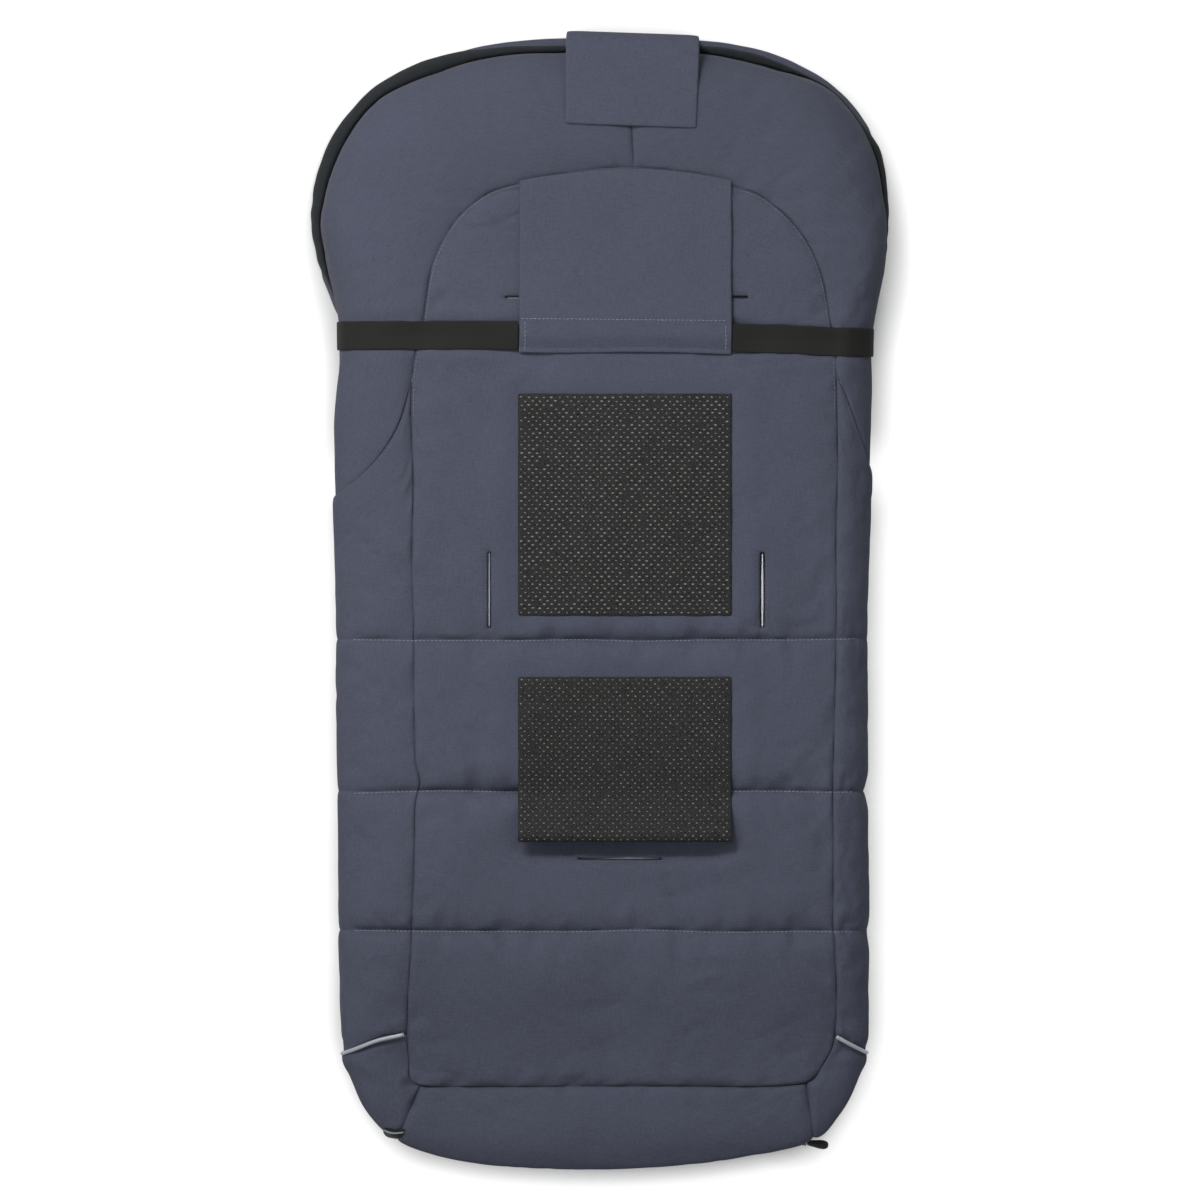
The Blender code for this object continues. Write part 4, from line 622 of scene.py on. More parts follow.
def turned(points, angle):
    """Points turned about the vertical."""
    c, n = math.cos(angle), math.sin(angle)
    x, y = points[..., 0], points[..., 1]
    return np.stack([x * c + y * n, y * c - x * n, points[..., 2]], -1)


def creases(base):
    """Sparse narrow folds that run in a few directions over the cloth."""
    total = np.zeros(base.shape[:2])
    for angle, scale, seed, depth in FOLDS:
        points = turned(base, angle)
        line = noise_field(points, scale, seed, 0.5)
        where = noise_field(points, (13.0, 13.0, 13.0), seed + 8.0)
        total -= depth * np.exp(-(line / 0.085) ** 2) * np.clip(where * 3.0 + 0.2, 0.0, 1.0)
    return total


def detailed(panel, shaped):
    """Adds seam grooves, the quilting's steep valleys, its puckers and soft creases."""
    base, facing = panel["p"], panel["d"]
    share = np.broadcast_to(section_shares(panel), base.shape[:2])[..., None]
    edges = panel["edges"]
    last_u, last_v = base.shape[0] - 1, base.shape[1] - 1
    ends = (0, last_u, 0, last_v)
    seams_u = [k for k, on in zip(ends[:2], edges[:2]) if on]
    seams_v = [k for k, on in zip(ends[2:], edges[2:]) if on] + panel["seams"]
    stack = np.concatenate([shaped, base, facing, share], -1)
    stack, low_u = refined(stack, seams_u, 0)
    stack, low_v = refined(stack, seams_v, 1)
    quilt_v = [int(np.where(low_v == k)[0][0]) for k in panel["seams"]]
    shaped, base, facing = stack[..., :3], stack[..., 3:6], stack[..., 6:9]
    low_down = np.clip((stack[..., 9] - 0.15) / 0.45, 0.0, 1.0)
    along_u, along_v = panel_lengths(base)
    far_flat = np.full(along_u.shape, 9.0)
    far_deep = far_flat.copy()
    for k, on, flat, axis in zip(ends, edges, panel["flat"], (0, 0, 1, 1)):
        if on:
            along, low = (along_u, low_u) if axis == 0 else (along_v, low_v)
            away = seam_distance(along, [int(np.where(low == k)[0][0])], axis)
            if flat:
                far_flat = np.minimum(far_flat, away)
            else:
                far_deep = np.minimum(far_deep, away)
    far_quilt = seam_distance(along_v, quilt_v, 1)
    far = np.minimum(np.minimum(far_flat, far_deep), far_quilt)
    fade = 1.0 - 0.78 * low_down
    bump = panel["loft"] * (1.0 - np.exp(-far / LOFT_REACH) * fade)
    if panel.get("lean"):
        bump *= 1.0 - 0.9 * np.clip((stack[..., 9] - 0.30) / 0.35, 0.0, 1.0)
    ridge = RIDGE_HEIGHT * np.exp(-far_flat / RIDGE_REACH) * np.minimum(far_quilt / 0.02, 1.0)
    bump += (ridge - GROOVE_DEPTH * np.exp(-far_flat / GROOVE_REACH)) * fade
    rough = 1.0 + 0.9 * noise_field(base, (70.0, 70.0, 70.0), 31.0, 0.5)
    bump -= np.exp(-far_deep / (DEEP_REACH * rough.clip(0.5, 1.6))) * DEEP_DEPTH * rough
    for k in quilt_v:
        above = along_v - along_v[:, [k]]
        uneven = noise_field(base, (42.0, 0.0, 22.0), 4.0 * k, 0.7)
        reach = np.where(above > 0.0, HEAD_REACH, FOOT_REACH) * (1.0 + 0.7 * uneven)
        order = int(np.argmin([abs(base[:, k, 1].mean() - y) for y in QUILT_SEAMS]))
        xs, depths = zip(*QUILT_DEPTHS[order])
        depth = QUILT_DIP * np.interp(base[..., 0], xs, depths) * (1.0 + 0.5 * uneven)
        bump -= depth * np.exp(-np.abs(above) / reach) * fade
    pucker = noise_field(base, (85.0, 15.0, 60.0), 9.0, 0.7)
    across = noise_field(base, (60.0, 60.0, 60.0), 5.0, 0.6)
    for away, field, (height, wide, narrow) in (
        (far_quilt, pucker, QUILT_PUCKERS), (far_flat, across, FLAT_PUCKERS),
        (far_deep, across, DEEP_PUCKERS),
    ):
        near = np.exp(-away / wide) * (1.0 - np.exp(-away / narrow))
        bump += height * field * near * fade
    broad = noise_field(base, (11.0, 9.0, 11.0), 3.0, 0.45)
    broad = broad * np.minimum(1.0, far / 0.03) * (1.0 - 0.85 * low_down)
    bump += panel.get("swell", BROAD_SWELL) * broad
    bump += CREASE_GAIN * creases(base) * (1.0 - 0.5 * low_down)
    x, y = base[..., 0], base[..., 1]
    bump += (pressed(x, y) - slump(y)) * (1.0 - low_down)
    bump -= TAPE_PRESS * np.exp(-outside(x, y, TAPE_X, TAPE_Y) / 0.004)
    for cx, cy in FOOT_CORNERS:
        away = np.hypot(x - cx - 0.004 * np.sign(cx), y - cy + 0.006)
        bump -= CORNER_DIP * np.exp(-(away / CORNER_REACH) ** 2)
    shaped = shaped + facing * bump[..., None]
    drift = np.array([warp(x, y) for x, y, _ in base.reshape(-1, 3)])
    drift = drift.reshape(*base.shape[:2], 2) * (1.0 - low_down)[..., None]
    shaped[..., :2] += drift
    return shaped, np.stack([along_u, along_v], -1)


# Materials


class Look:
    """The nodes of a material or world, with helpers that add, fill and join them."""

    def __init__(self, made, shader="Principled BSDF"):
        made.use_nodes = True
        self.made, self.tree = made, made.node_tree
        self.shader = self.tree.nodes[shader]

    def fill(self, node, inputs):
        """Gives a node's inputs their values, or joins them to other nodes."""
        for key, value in inputs.items():
            if isinstance(value, bpy.types.NodeSocket):
                self.tree.links.new(value, node.inputs[key])
            else:
                node.inputs[key].default_value = value

    def add(self, kind, out, inputs, **settings):
        """Adds a node and gives back one of its outputs."""
        node = self.tree.nodes.new("ShaderNode" + kind)
        for key, value in settings.items():
            setattr(node, key, value)
        self.fill(node, inputs)
        return node.outputs[out]

    def coords(self, kind="Object"):
        """Texture coordinates."""
        return self.add("TexCoord", kind, {})

    def uneven(self, place, scale, detail, distortion=0.0):
        """An uneven grey."""
        return self.add("TexNoise", "Fac", {"Vector": place, "Scale": scale, "Detail": detail,
                                            "Distortion": distortion})

    def threads(self, place, direction, pitch, distortion, detail):
        """Waves side by side at a pitch, one for each thread."""
        inputs = {"Vector": place, "Scale": math.pi / 10.0 / pitch, "Distortion": distortion,
                  "Detail": detail}
        return self.add("TexWave", "Fac", inputs, wave_type="BANDS",
                        bands_direction=direction)

    def sums(self, operation, *values):
        """A sum of numbers and outputs."""
        return self.add("Math", 0, dict(enumerate(values)), operation=operation)

    def tones(self, value, low, high, dark, light):
        """A colour that runs from dark at low to light at high."""
        node = self.tree.nodes.new("ShaderNodeValToRGB")
        for end, place, colour in zip(node.color_ramp.elements, (low, high), (dark, light)):
            end.position, end.color = place, (*colour, 1.0)
        self.fill(node, {"Fac": value})
        return node.outputs["Color"]

    def raised(self, height, strength, distance, under=None, invert=False):
        """A surface raised by a height, over another such surface."""
        inputs = {"Height": height, "Strength": strength, "Distance": distance}
        if under is not None:
            inputs["Normal"] = under
        return self.add("Bump", "Normal", inputs, invert=invert)

    def done(self, colour, normal, rough, **more):
        """The material, with its shader filled."""
        self.fill(self.shader, {"Base Color": colour, "Normal": normal, "Roughness": rough})
        self.fill(self.shader, {SHADER_INPUTS[key]: value for key, value in more.items()})
        return self.made


SHADER_INPUTS = {"sheen": "Sheen Weight", "sheen_rough": "Sheen Roughness",
                 "gloss": "Specular IOR Level", "metal": "Metallic"}


def new_look(name):
    """A new material."""
    return Look(bpy.data.materials.new(name))


def woven(name, dark, light, pitch, rough, sheen, depth):
    """Woven cloth: warp and weft threads, uneven yarn and a heathered tone."""
    look = new_look(name)
    cloth, place = look.coords("UV"), look.coords()
    weave = look.sums("MULTIPLY", *(look.threads(cloth, way, pitch, 0.6, 1.0) for way in "XY"))
    yarns = []
    for scale in ((1.0, 0.12, 1.0), (0.12, 1.0, 1.0)):
        along = look.add("Mapping", "Vector", {"Vector": cloth, "Scale": scale})
        yarns.append(look.uneven(along, 900.0, 3.0))
    yarn = look.sums("MULTIPLY_ADD", look.sums("ADD", *yarns), 0.5, weave)
    mottled = look.sums("MULTIPLY_ADD", look.uneven(place, 560.0, 3.0), 0.50, yarn)
    tone = look.sums("MULTIPLY_ADD", look.uneven(place, 9.0, 4.0), 0.25, mottled)
    share = look.add("MapRange", "Result", {"Value": tone, "From Min": 0.75, "From Max": 1.50})
    crinkle = look.raised(look.uneven(place, 62.0, 3.0, 0.6), 1.0, depth * 5.0)
    return look.done(look.tones(share, 0.0, 1.0, dark, light),
                     look.raised(yarn, 0.6, depth, crinkle), rough, sheen=sheen,
                     sheen_rough=0.5, gloss=0.12)


def fleece_material():
    """Off-white fleece with a curly pile."""
    look = new_look("fleece_pile")
    curl = look.add("TexVoronoi", "Distance", {"Vector": look.coords(), "Scale": 420.0})
    pile = look.sums("ADD", curl, look.uneven(look.coords(), 160.0, 6.0))
    return look.done(look.tones(pile, 0.4, 1.2, (0.50, 0.50, 0.56), (0.82, 0.82, 0.86)),
                     look.raised(pile, 0.8, 0.0012), 0.95, sheen=0.5)


def plain(name, colour, rough, metal=0.0, grain=0.12, scale=700.0, depth=0.0001):
    """A surface with uneven tone and a fine grain, for metal, rubber and thread."""
    look = new_look(name)
    speck = look.uneven(look.coords(), scale, 4.0)
    dark = tuple(value * (1.0 - grain) for value in colour)
    light = tuple(min(value * (1.0 + grain), 1.0) for value in colour)
    return look.done(look.tones(speck, 0.3, 0.7, dark, light), look.raised(speck, 0.4, depth),
                     rough, metal=metal)


def mesh_material():
    """Black knitted mesh under the silicone dots: small open cells."""
    look = new_look("grip_mesh_knit")
    cells = look.add("TexVoronoi", "Distance", {"Vector": look.coords(), "Scale": 430.0},
                     feature="DISTANCE_TO_EDGE")
    return look.done(look.tones(cells, 0.04, 0.42, (0.036, 0.036, 0.035), (0.005, 0.005, 0.005)),
                     look.raised(cells, 0.7, 0.0004, invert=True), 0.8, gloss=0.15)


def elastic_material():
    """Black elastic: faint fine ribs along the strap, broken by the cross weave."""
    look = new_look("elastic_ribs")
    cloth = look.coords("UV")
    rib = look.threads(cloth, "Y", 0.0011, 1.5, 2.0)
    total = look.sums("MULTIPLY_ADD", rib, 0.25, look.uneven(cloth, 1300.0, 4.0))
    return look.done(look.tones(total, 0.3, 1.0, (0.017, 0.017, 0.016), (0.028, 0.028, 0.026)),
                     look.raised(total, 0.3, 0.0002), 0.85, gloss=0.15)


def make_materials():
    """All finishes by the record's slot, with the threads and the dots beside them."""
    return {
        "shell": woven("shell_weave", (0.058, 0.064, 0.088), (0.114, 0.118, 0.172),
                       0.0009, 0.9, 0.06, 0.0002),
        "rim": woven("rim_knit", (0.018, 0.020, 0.023), (0.036, 0.040, 0.045),
                     0.0012, 0.9, 0.04, 0.0003),
        "fleece": fleece_material(),
        "grip_mesh": mesh_material(),
        "black_webbing": elastic_material(),
        "zip_tape": woven("tape_weave", (0.014, 0.015, 0.018), (0.032, 0.034, 0.039),
                          0.0007, 0.75, 0.1, 0.0001),
        "hook_tape": plain("hook_pile", (0.030, 0.031, 0.034), 0.95, 0.0, 0.4, 1400.0, 0.0006),
        "ribbon": woven("ribbon_weave", (0.28, 0.28, 0.30), (0.44, 0.44, 0.47),
                        0.0006, 0.7, 0.1, 0.0001),
        "reflective": plain("reflective_film", (0.44, 0.45, 0.49), 0.42, 0.15, 0.18, 2500.0,
                            0.00008),
        "zip_metal": plain("black_zinc", (0.020, 0.020, 0.021), 0.36, 0.85),
        "rubber": plain("soft_rubber", (0.014, 0.014, 0.014), 0.5),
        "thread": plain("lavender_thread", (0.29, 0.29, 0.38), 0.7, 0.0, 0.25),
        "arch_thread": plain("slate_topstitch", (0.17, 0.18, 0.24), 0.7, 0.0, 0.3),
        "dark_thread": plain("slate_thread", (0.13, 0.135, 0.175), 0.7, 0.0, 0.3),
        # Painted glint: the dots are black silicone, and their grey base colour stands for the
        # glint on them.
        "silicone": plain("silicone_painted_glint", (0.30, 0.30, 0.29), 0.35, 0.0, 0.2),
        "bright_binding": plain("white_binding", (0.80, 0.80, 0.86), 0.8, 0.0, 0.1),
        # Painted shade: a darker copy of the light binding, for the lips of slots that lie closed
        # or in shadow.
        "binding_painted_shade": plain("binding_lavender_shade_copy", (0.46, 0.46, 0.55), 0.85, 0.0, 0.1),
    }


# Building pieces


UP = (0.0, 0.0, 1.0)


def link(name, mesh, finish):
    """A piece in the scene with its finish."""
    made = bpy.data.objects.new(name, mesh)
    bpy.context.scene.collection.objects.link(made)
    mesh.materials.clear()
    mesh.materials.append(MATERIALS[finish])
    mesh.shade_smooth()
    return made


def attached(piece, body, node=None):
    """The piece on its body, in the place of a CAD node where it shows one."""
    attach(piece, body)
    if node:
        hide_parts(node)
    return piece


def mesh_of(name, verts, faces):
    """A mesh from points and faces."""
    mesh = bpy.data.meshes.new(name)
    mesh.from_pydata(verts, [], faces)
    return mesh


def edited(mesh, edit):
    """Changes a mesh by a function of its editable form."""
    bm = bmesh.new()
    bm.from_mesh(mesh)
    edit(bm)
    bm.to_mesh(mesh)
    bm.free()


def grid_mesh(name, grid, facing=UP, uv=None):
    """A mesh of quads from a grid of points, with lengths along the cloth as UV."""
    columns, rows = grid.shape[:2]
    ids = np.arange(columns * rows).reshape(columns, rows)
    facing = np.broadcast_to(facing, grid.shape)
    quads = quads_of(ids, grid, facing, columns // 2, rows // 2)
    mesh = mesh_of(name, grid.reshape(-1, 3).tolist(), quads.tolist())
    if uv is None:
        uv = np.stack(panel_lengths(grid), -1)
    layer = mesh.uv_layers.new(name="metres")
    loops = np.zeros(len(mesh.loops), int)
    mesh.loops.foreach_get("vertex_index", loops)
    layer.data.foreach_set("uv", uv.reshape(-1, 2)[loops].ravel())
    return mesh


def thickened(piece, thick, offset=0.0, levels=1):
    """The piece with its thickness, rounded and with its mesh final."""
    solid = piece.modifiers.new("thickness", "SOLIDIFY")
    solid.thickness = thick
    solid.offset = offset
    smooth = piece.modifiers.new("rounding", "SUBSURF")
    smooth.levels = levels
    smooth.render_levels = levels
    graph = bpy.context.evaluated_depsgraph_get()
    mesh = bpy.data.meshes.new_from_object(piece.evaluated_get(graph))
    piece.modifiers.clear()
    piece.data = mesh
    return piece


def draw_in(grid, gap, sides):
    """Draws a grid's borders in by a gap, so that seams don't touch."""
    across = grid.transpose(1, 0, 2)
    for on, lines, edge, beside in (
        (sides[0], grid, 0, 1), (sides[1], grid, -1, -2),
        (sides[2], across, 0, 1), (sides[3], across, -1, -2),
    ):
        if on:
            step = lines[beside] - lines[edge]
            lines[edge] += step / np.linalg.norm(step, axis=-1, keepdims=True) * gap


SHELL_NODES = {
    "back_panel": "back_quilt", "foot_end_skin": "foot_end_panel",
    "gusset_panel_left": "gusset_left", "gusset_panel_right": "gusset_right",
    "hood_panel_left": "hood_left", "hood_panel_right": "hood_right",
    "foot_corner_panel_left": "foot_corner_left",
    "foot_corner_panel_right": "foot_corner_right",
}


def make_shell():
    """The padded outer panels, cut out of the simulated shell."""
    panels = shell_panels()
    found = simulate(panels)
    made = []
    for name, panel in panels.items():
        shaped, uv = detailed(panel, capped(panel, found))
        draw_in(shaped, -0.0012, panel["edges"])
        piece = link(name, grid_mesh(name, shaped, (0.0, 0.0, 0.0), uv), "shell")
        face_out(piece, panel)
        if name == "back_panel":
            edited(piece.data, open_slots)
        thickened(piece, 0.0016, -1.0)
        piece.data.shade_smooth()
        attached(piece, "muff", SHELL_NODES[name])
        made.append(piece)
    return made


def face_out(piece, panel):
    """Turns a panel's faces to the outside."""
    face = piece.data.polygons[len(piece.data.polygons) // 2]
    base = panel["p"].reshape(-1, 3)
    near = int(np.argmin(np.linalg.norm(base - np.array(face.center), axis=1)))
    if face.normal.dot(Vector(panel["d"].reshape(-1, 3)[near])) < 0.0:
        piece.data.flip_normals()


SLOTS = (
    ("harness_slot_left", -0.0973, 0.009, 0.066, True, 0.0010),
    ("harness_slot_right", 0.1427, 0.009, 0.066, True, 0.0017),
    ("crotch_slot", 0.0176, -0.227, 0.074, False, 0.0008),
    ("shoulder_slit", 0.0234, 0.266, 0.213, False, 0.0005),
)


def slot_halves(length, along_y, half):
    """Half a slot's size in X and in Y."""
    return (half, length / 2.0) if along_y else (length / 2.0, half)


def open_slots(bm):
    """Cuts the slots through the back panel's cloth, leaving rounded lips."""
    for _, x, y, length, along_y, half in SLOTS:
        half_x, half_y = slot_halves(length, along_y, half)

        def within(reach):
            return [f for f in bm.faces
                    if abs(f.calc_center_median().x - x) < half_x + reach
                    and abs(f.calc_center_median().y - y) < half_y + reach]

        for plane, normal in (
            ((x - half_x, 0.0, 0.0), (1.0, 0.0, 0.0)), ((x + half_x, 0.0, 0.0), (1.0, 0.0, 0.0)),
            ((0.0, y - half_y, 0.0), (0.0, 1.0, 0.0)), ((0.0, y + half_y, 0.0), (0.0, 1.0, 0.0)),
        ):
            near = within(0.010)
            geom = near + list({e for f in near for e in f.edges})
            geom += list({v for f in near for v in f.verts})
            bmesh.ops.bisect_plane(bm, geom=geom, plane_co=plane, plane_no=normal)
        bmesh.ops.delete(bm, geom=within(0.0), context="FACES")
        for vert in bm.verts:
            off = max(abs(vert.co.x - x) - half_x, abs(vert.co.y - y) - half_y)
            if -0.0001 < off < 0.005:
                vert.co.z -= 0.0018 * math.exp(-max(off, 0.0) / 0.0014)


def tree_of(pieces):
    """A search tree over the final surfaces of pieces."""
    graph = bpy.context.evaluated_depsgraph_get()
    verts, faces, base = [], [], 0
    for piece in pieces:
        mesh = piece.evaluated_get(graph).to_mesh()
        verts += [piece.matrix_world @ v.co for v in mesh.vertices]
        faces += [[base + n for n in f.vertices] for f in mesh.polygons]
        base = len(verts)
    return BVHTree.FromPolygons(verts, faces)


def drop_on(tree, x, y, high=0.2):
    """The place and normal of the surface under a point of the plan."""
    place, normal, _, _ = tree.ray_cast(Vector((x, y, high)), Vector((0.0, 0.0, -1.0)))
    return place, normal


def resampled(line, pitch):
    """Points along a line at an even pitch."""
    line = [Vector(p) for p in line]
    found, left = [line[0]], pitch
    for a, b in zip(line, line[1:]):
        span = (b - a).length
        place = 0.0
        while span - place >= left:
            place += left
            found.append(a.lerp(b, place / span))
            left = pitch
        left -= span - place
    return found


def stitch_mesh(name, ends, thick):
    """Many short threads in one mesh, each bowed up in its middle."""
    verts, faces = [], []
    for a, b, up in ends:
        run = (b - a).normalized()
        side = run.cross(up).normalized()
        lift = side.cross(run)
        for share, size, rise in ((0.0, 0.35, -0.3), (0.25, 1.0, 0.25), (0.75, 1.0, 0.25),
                                  (1.0, 0.35, -0.3)):
            centre = a.lerp(b, share) + lift * thick * rise
            for k in range(6):
                turn = k * math.pi / 3.0
                verts.append(centre + (side * math.cos(turn) + lift * math.sin(turn))
                             * thick / 2.0 * size)
        base = len(verts) - 24
        for ring in range(3):
            for k in range(6):
                p, q = base + ring * 6 + k, base + ring * 6 + (k + 1) % 6
                faces.append((p, q, q + 6, p + 6))
        faces.append(tuple(base + k for k in range(5, -1, -1)))
        faces.append(tuple(base + 18 + k for k in range(6)))
    return mesh_of(name, verts, faces)


def stitches(name, lines, tree, body, finish="thread", pitch=0.0036, length=0.0028,
             thick=0.00065, lift=0.0002, follow=True):
    """Threads along lines of the plan, laid on the surface below."""
    ends = []
    for line in lines:
        points = resampled([(x, y, 0.0) for x, y in line], pitch)
        for a, b in zip(points, points[1:]):
            run = (b - a).normalized() * length
            jog = Vector((RNG.uniform(-0.0001, 0.0001), RNG.uniform(-0.0001, 0.0001), 0.0))
            if follow:
                jog += Vector((*warp(a.x, a.y), 0.0))
            p, up = drop_on(tree, a.x + jog.x, a.y + jog.y)
            q, _ = drop_on(tree, a.x + run.x + jog.x, a.y + run.y + jog.y)
            if p is None or q is None or (p - q).length > 2.0 * length:
                continue
            ends.append((p + up * lift, q + up * lift, up))
    attached(link(name, stitch_mesh(name, ends, thick), finish), body)


# How far the stitches run beside their seams
QUILT_STITCH_OFF, ARCH_STITCH_OFF, SLOT_STITCH_OFF = 0.0011, 0.0021, 0.0026


def make_stitching(tree):
    """Quilting, arch, shoulder and slot stitches on the body."""
    rows = []
    for seam in QUILT_SEAMS:
        left, right = (Section(side, station_at(side, seam)).outer.x for side in (LEFT, RIGHT))
        y = seam - QUILT_STITCH_OFF
        rows.append([(left + 0.012, y), (right - 0.006, y)])
    stitches("quilting_stitches", rows, tree, "muff", lift=0.0003)
    arch, shoulder = [], []
    for side in (LEFT, RIGHT):
        sections = [Section(side, s) for s in spread(11.6, CROWN, 60)]
        arch.append([section.inner - section.out * ARCH_STITCH_OFF for section in sections])
        shares = [WIDEST * k / 26.0 for k in range(2, 24)]
        shoulder.append([Section(side, shoulder_station(side, u) - 0.045).point(u)[0][:2]
                         for u in shares])
    arch = [arch[0] + arch[1][::-1]]
    stitches("arch_stitches", arch, tree, "muff", "arch_thread", thick=0.0006)
    stitches("shoulder_stitches", shoulder, tree, "muff", "dark_thread", thick=0.00045)
    rims = []
    for _, x, y, *sizes in SLOTS:
        a, b = (size + SLOT_STITCH_OFF for size in slot_halves(*sizes))
        rims.append([(x - a, y - b), (x - a, y + b), (x + a, y + b), (x + a, y - b),
                     (x - a, y - b)])
    stitches("slot_stitches", rims, tree, "muff", "dark_thread", 0.0028, 0.0020, 0.00042)


# Pads


# Each pad's place in Y, its free edge's height, its dots' size and the share of lost dots
PADS = {
    "upper_grip": (UPPER_PAD_Y, 0.0, (0.0023, 0.0013, 0.0006), 0.02),
    "lower_grip": (LOWER_PAD_Y, 0.0160, (0.0016, 0.0011, 0.0005), 0.03),
}
DOT_PITCH_X, DOT_PITCH_Y, DOT_MARGIN = 0.0067, 0.0035, 0.003
PAD_CLOTH, PAD_ABOVE = 0.0013, 0.0019


def pad_heights(tree, xs, ys, bridge):
    """Heights of a pad that lies on the puffs and bridges the dips between them."""
    found = [[drop_on(tree, x, y)[0] for y in ys] for x in xs]
    heights = np.array([[place.z if place else BACK_Z for place in line] for line in found])
    for step in range(bridge + 4):
        p = np.pad(heights, 1, mode="edge")
        around = p[:-2, 1:-1] + p[2:, 1:-1] + p[1:-1, :-2] + p[1:-1, 2:]
        if step < bridge:
            heights = np.maximum(heights, around / 4.0)
        else:
            heights = (around + 4.0 * heights) / 8.0
    return heights


def make_pad(name, tree):
    """An anti-slip pad of mesh cloth, sewn on flat or with one edge standing up."""
    y_span, lift = PADS[name][:2]
    columns, rows = 72, 60
    xs, ys = spread(*PAD_X, columns), spread(*y_span, rows)
    heights = pad_heights(tree, xs, ys, 40)
    grid = np.zeros((columns + 1, rows + 1, 3))
    for i, x in enumerate(xs):
        for j, y in enumerate(ys):
            away = min(x - xs[0], xs[-1] - x, y - ys[0], ys[-1] - y)
            wave = 0.0016 * noise.noise(Vector((x * 24.0, y * 17.0, 2.0)))
            wave += 0.0007 * noise.noise(Vector((x * 60.0, y * 45.0, 5.0)))
            edge = 0.0005 * noise.noise(Vector((x * 150.0, y * 150.0, 7.0)))
            raised = lift * (1.0 - ramp((y - ys[0]) / 0.036))
            raised -= 0.35 * lift * math.exp(-(y - ys[0]) / 0.004)
            wave *= 1.0 - math.exp(-away / 0.012)
            z = heights[i, j] + PAD_ABOVE + wave + raised - 0.0006 * math.exp(-away / 0.002)
            grid[i, j] = (x + (edge if i in (0, columns) else 0.0),
                          y + (edge if j in (0, rows) else 0.0), z)
    uv = np.stack(np.meshgrid(xs, ys, indexing="ij"), -1)
    mesh = grid_mesh(name + "_cloth", grid, UP, uv)
    piece = thickened(link(name + "_cloth", mesh, "grip_mesh"), PAD_CLOTH, -1.0)
    attached(piece, "muff", name + "_pad")
    return piece


def make_dots(name, tree):
    """Silicone dots in staggered rows, each a small dome."""
    (y0, y1), _, size, thin = PADS[name]
    x0, x1 = PAD_X
    verts, faces = [], []
    for r in range(int((y1 - y0 - 0.004) / DOT_PITCH_Y) + 1):
        y = y0 + DOT_MARGIN + r * DOT_PITCH_Y
        x = x0 + DOT_MARGIN + (DOT_PITCH_X / 2.0 if r % 2 else 0.0)
        while x < x1 - 0.002:
            if RNG.random() > thin:
                px = x + RNG.uniform(-0.0005, 0.0005)
                py = y + RNG.uniform(-0.0004, 0.0004)
                place, normal = drop_on(tree, px, py)
                if place:
                    add_dome(verts, faces, place, normal, size, RNG.uniform(0.6, 1.1))
            x += DOT_PITCH_X
    # The dots' grey finish is painted glint.
    attached(link(name + "_dots", mesh_of(name + "_dots", verts, faces), "silicone"), "muff")


def add_dome(verts, faces, place, normal, size, scale):
    """One dome of silicone on a surface."""
    count = 10
    base = len(verts)
    across = Vector((1.0, 0.0, 0.0))
    along = normal.cross(across).normalized()
    across = along.cross(normal).normalized()
    for level, wide in ((-0.2, 1.0), (0.45, 0.86), (0.85, 0.5)):
        for k in range(count):
            turn = 2.0 * math.pi * k / count
            verts.append(place + across * math.cos(turn) * size[0] / 2 * wide * scale
                         + along * math.sin(turn) * size[1] / 2 * wide * scale
                         + normal * level * size[2])
    verts.append(place + normal * size[2])
    for ring in range(2):
        for k in range(count):
            p, q = base + ring * count + k, base + ring * count + (k + 1) % count
            faces.append((p, q, q + count, p + count))
    top = base + 3 * count
    for k in range(count):
        faces.append((base + 2 * count + k, base + 2 * count + (k + 1) % count, top))
    faces.append(tuple(base + k for k in range(count - 1, -1, -1)))


# Flaps and straps


FLAP_X = (-0.0711, 0.1157)
FLAP_FOOT_Y, HEM_TURN_Y, FLAP_CLOTH = 0.2189, 0.2485, 0.0016
HEM_Z, HEM_DIP = BACK_Z + 0.0118, 0.0050
STRAP_THICK, STRAP_GAP, STRAP_CLOTH = 0.0018, 0.0003, 0.0015
FOLD_RADIUS = STRAP_THICK / 2.0 + STRAP_GAP + FLAP_CLOTH / 2.0
STRAP_MIDDLE_Z = HEM_Z - FOLD_RADIUS


def hem_dip(y):
    """How far the hem's rounded lower edge falls below its flat part."""
    return HEM_DIP * (1.0 - ramp((y - FLAP_FOOT_Y) / 0.017))


def flap_line(top_y):
    """The backrest flap's fold in Y and Z, from its sewn edge round the strap."""
    turn_y = FLAP_FOOT_Y + FOLD_RADIUS + FLAP_CLOTH / 2.0
    path = [(mix(top_y, HEM_TURN_Y, share), mix(BACK_Z + 0.0052, HEM_Z, share ** 0.8))
            for share in spread(0.0, 1.0, 20)]
    path += [(y, HEM_Z - hem_dip(y)) for y in spread(HEM_TURN_Y, turn_y, 12)[1:]]
    high, low = HEM_Z - hem_dip(turn_y), HEM_Z - 2.0 * FOLD_RADIUS
    for angle in spread(0.0, math.pi, 6)[1:]:
        path.append((turn_y - FOLD_RADIUS * math.sin(angle),
                     mix(high, low, (1.0 - math.cos(angle)) / 2.0)))
    under = STRAP_Y + STRAP_WIDTH / 2.0 + FLAP_CLOTH
    path += [(y, low) for y in spread(turn_y, under, 5)[1:]]
    path.append((under + 2.0 * FLAP_CLOTH, HEM_Z - FLAP_CLOTH - 0.0007))
    return path


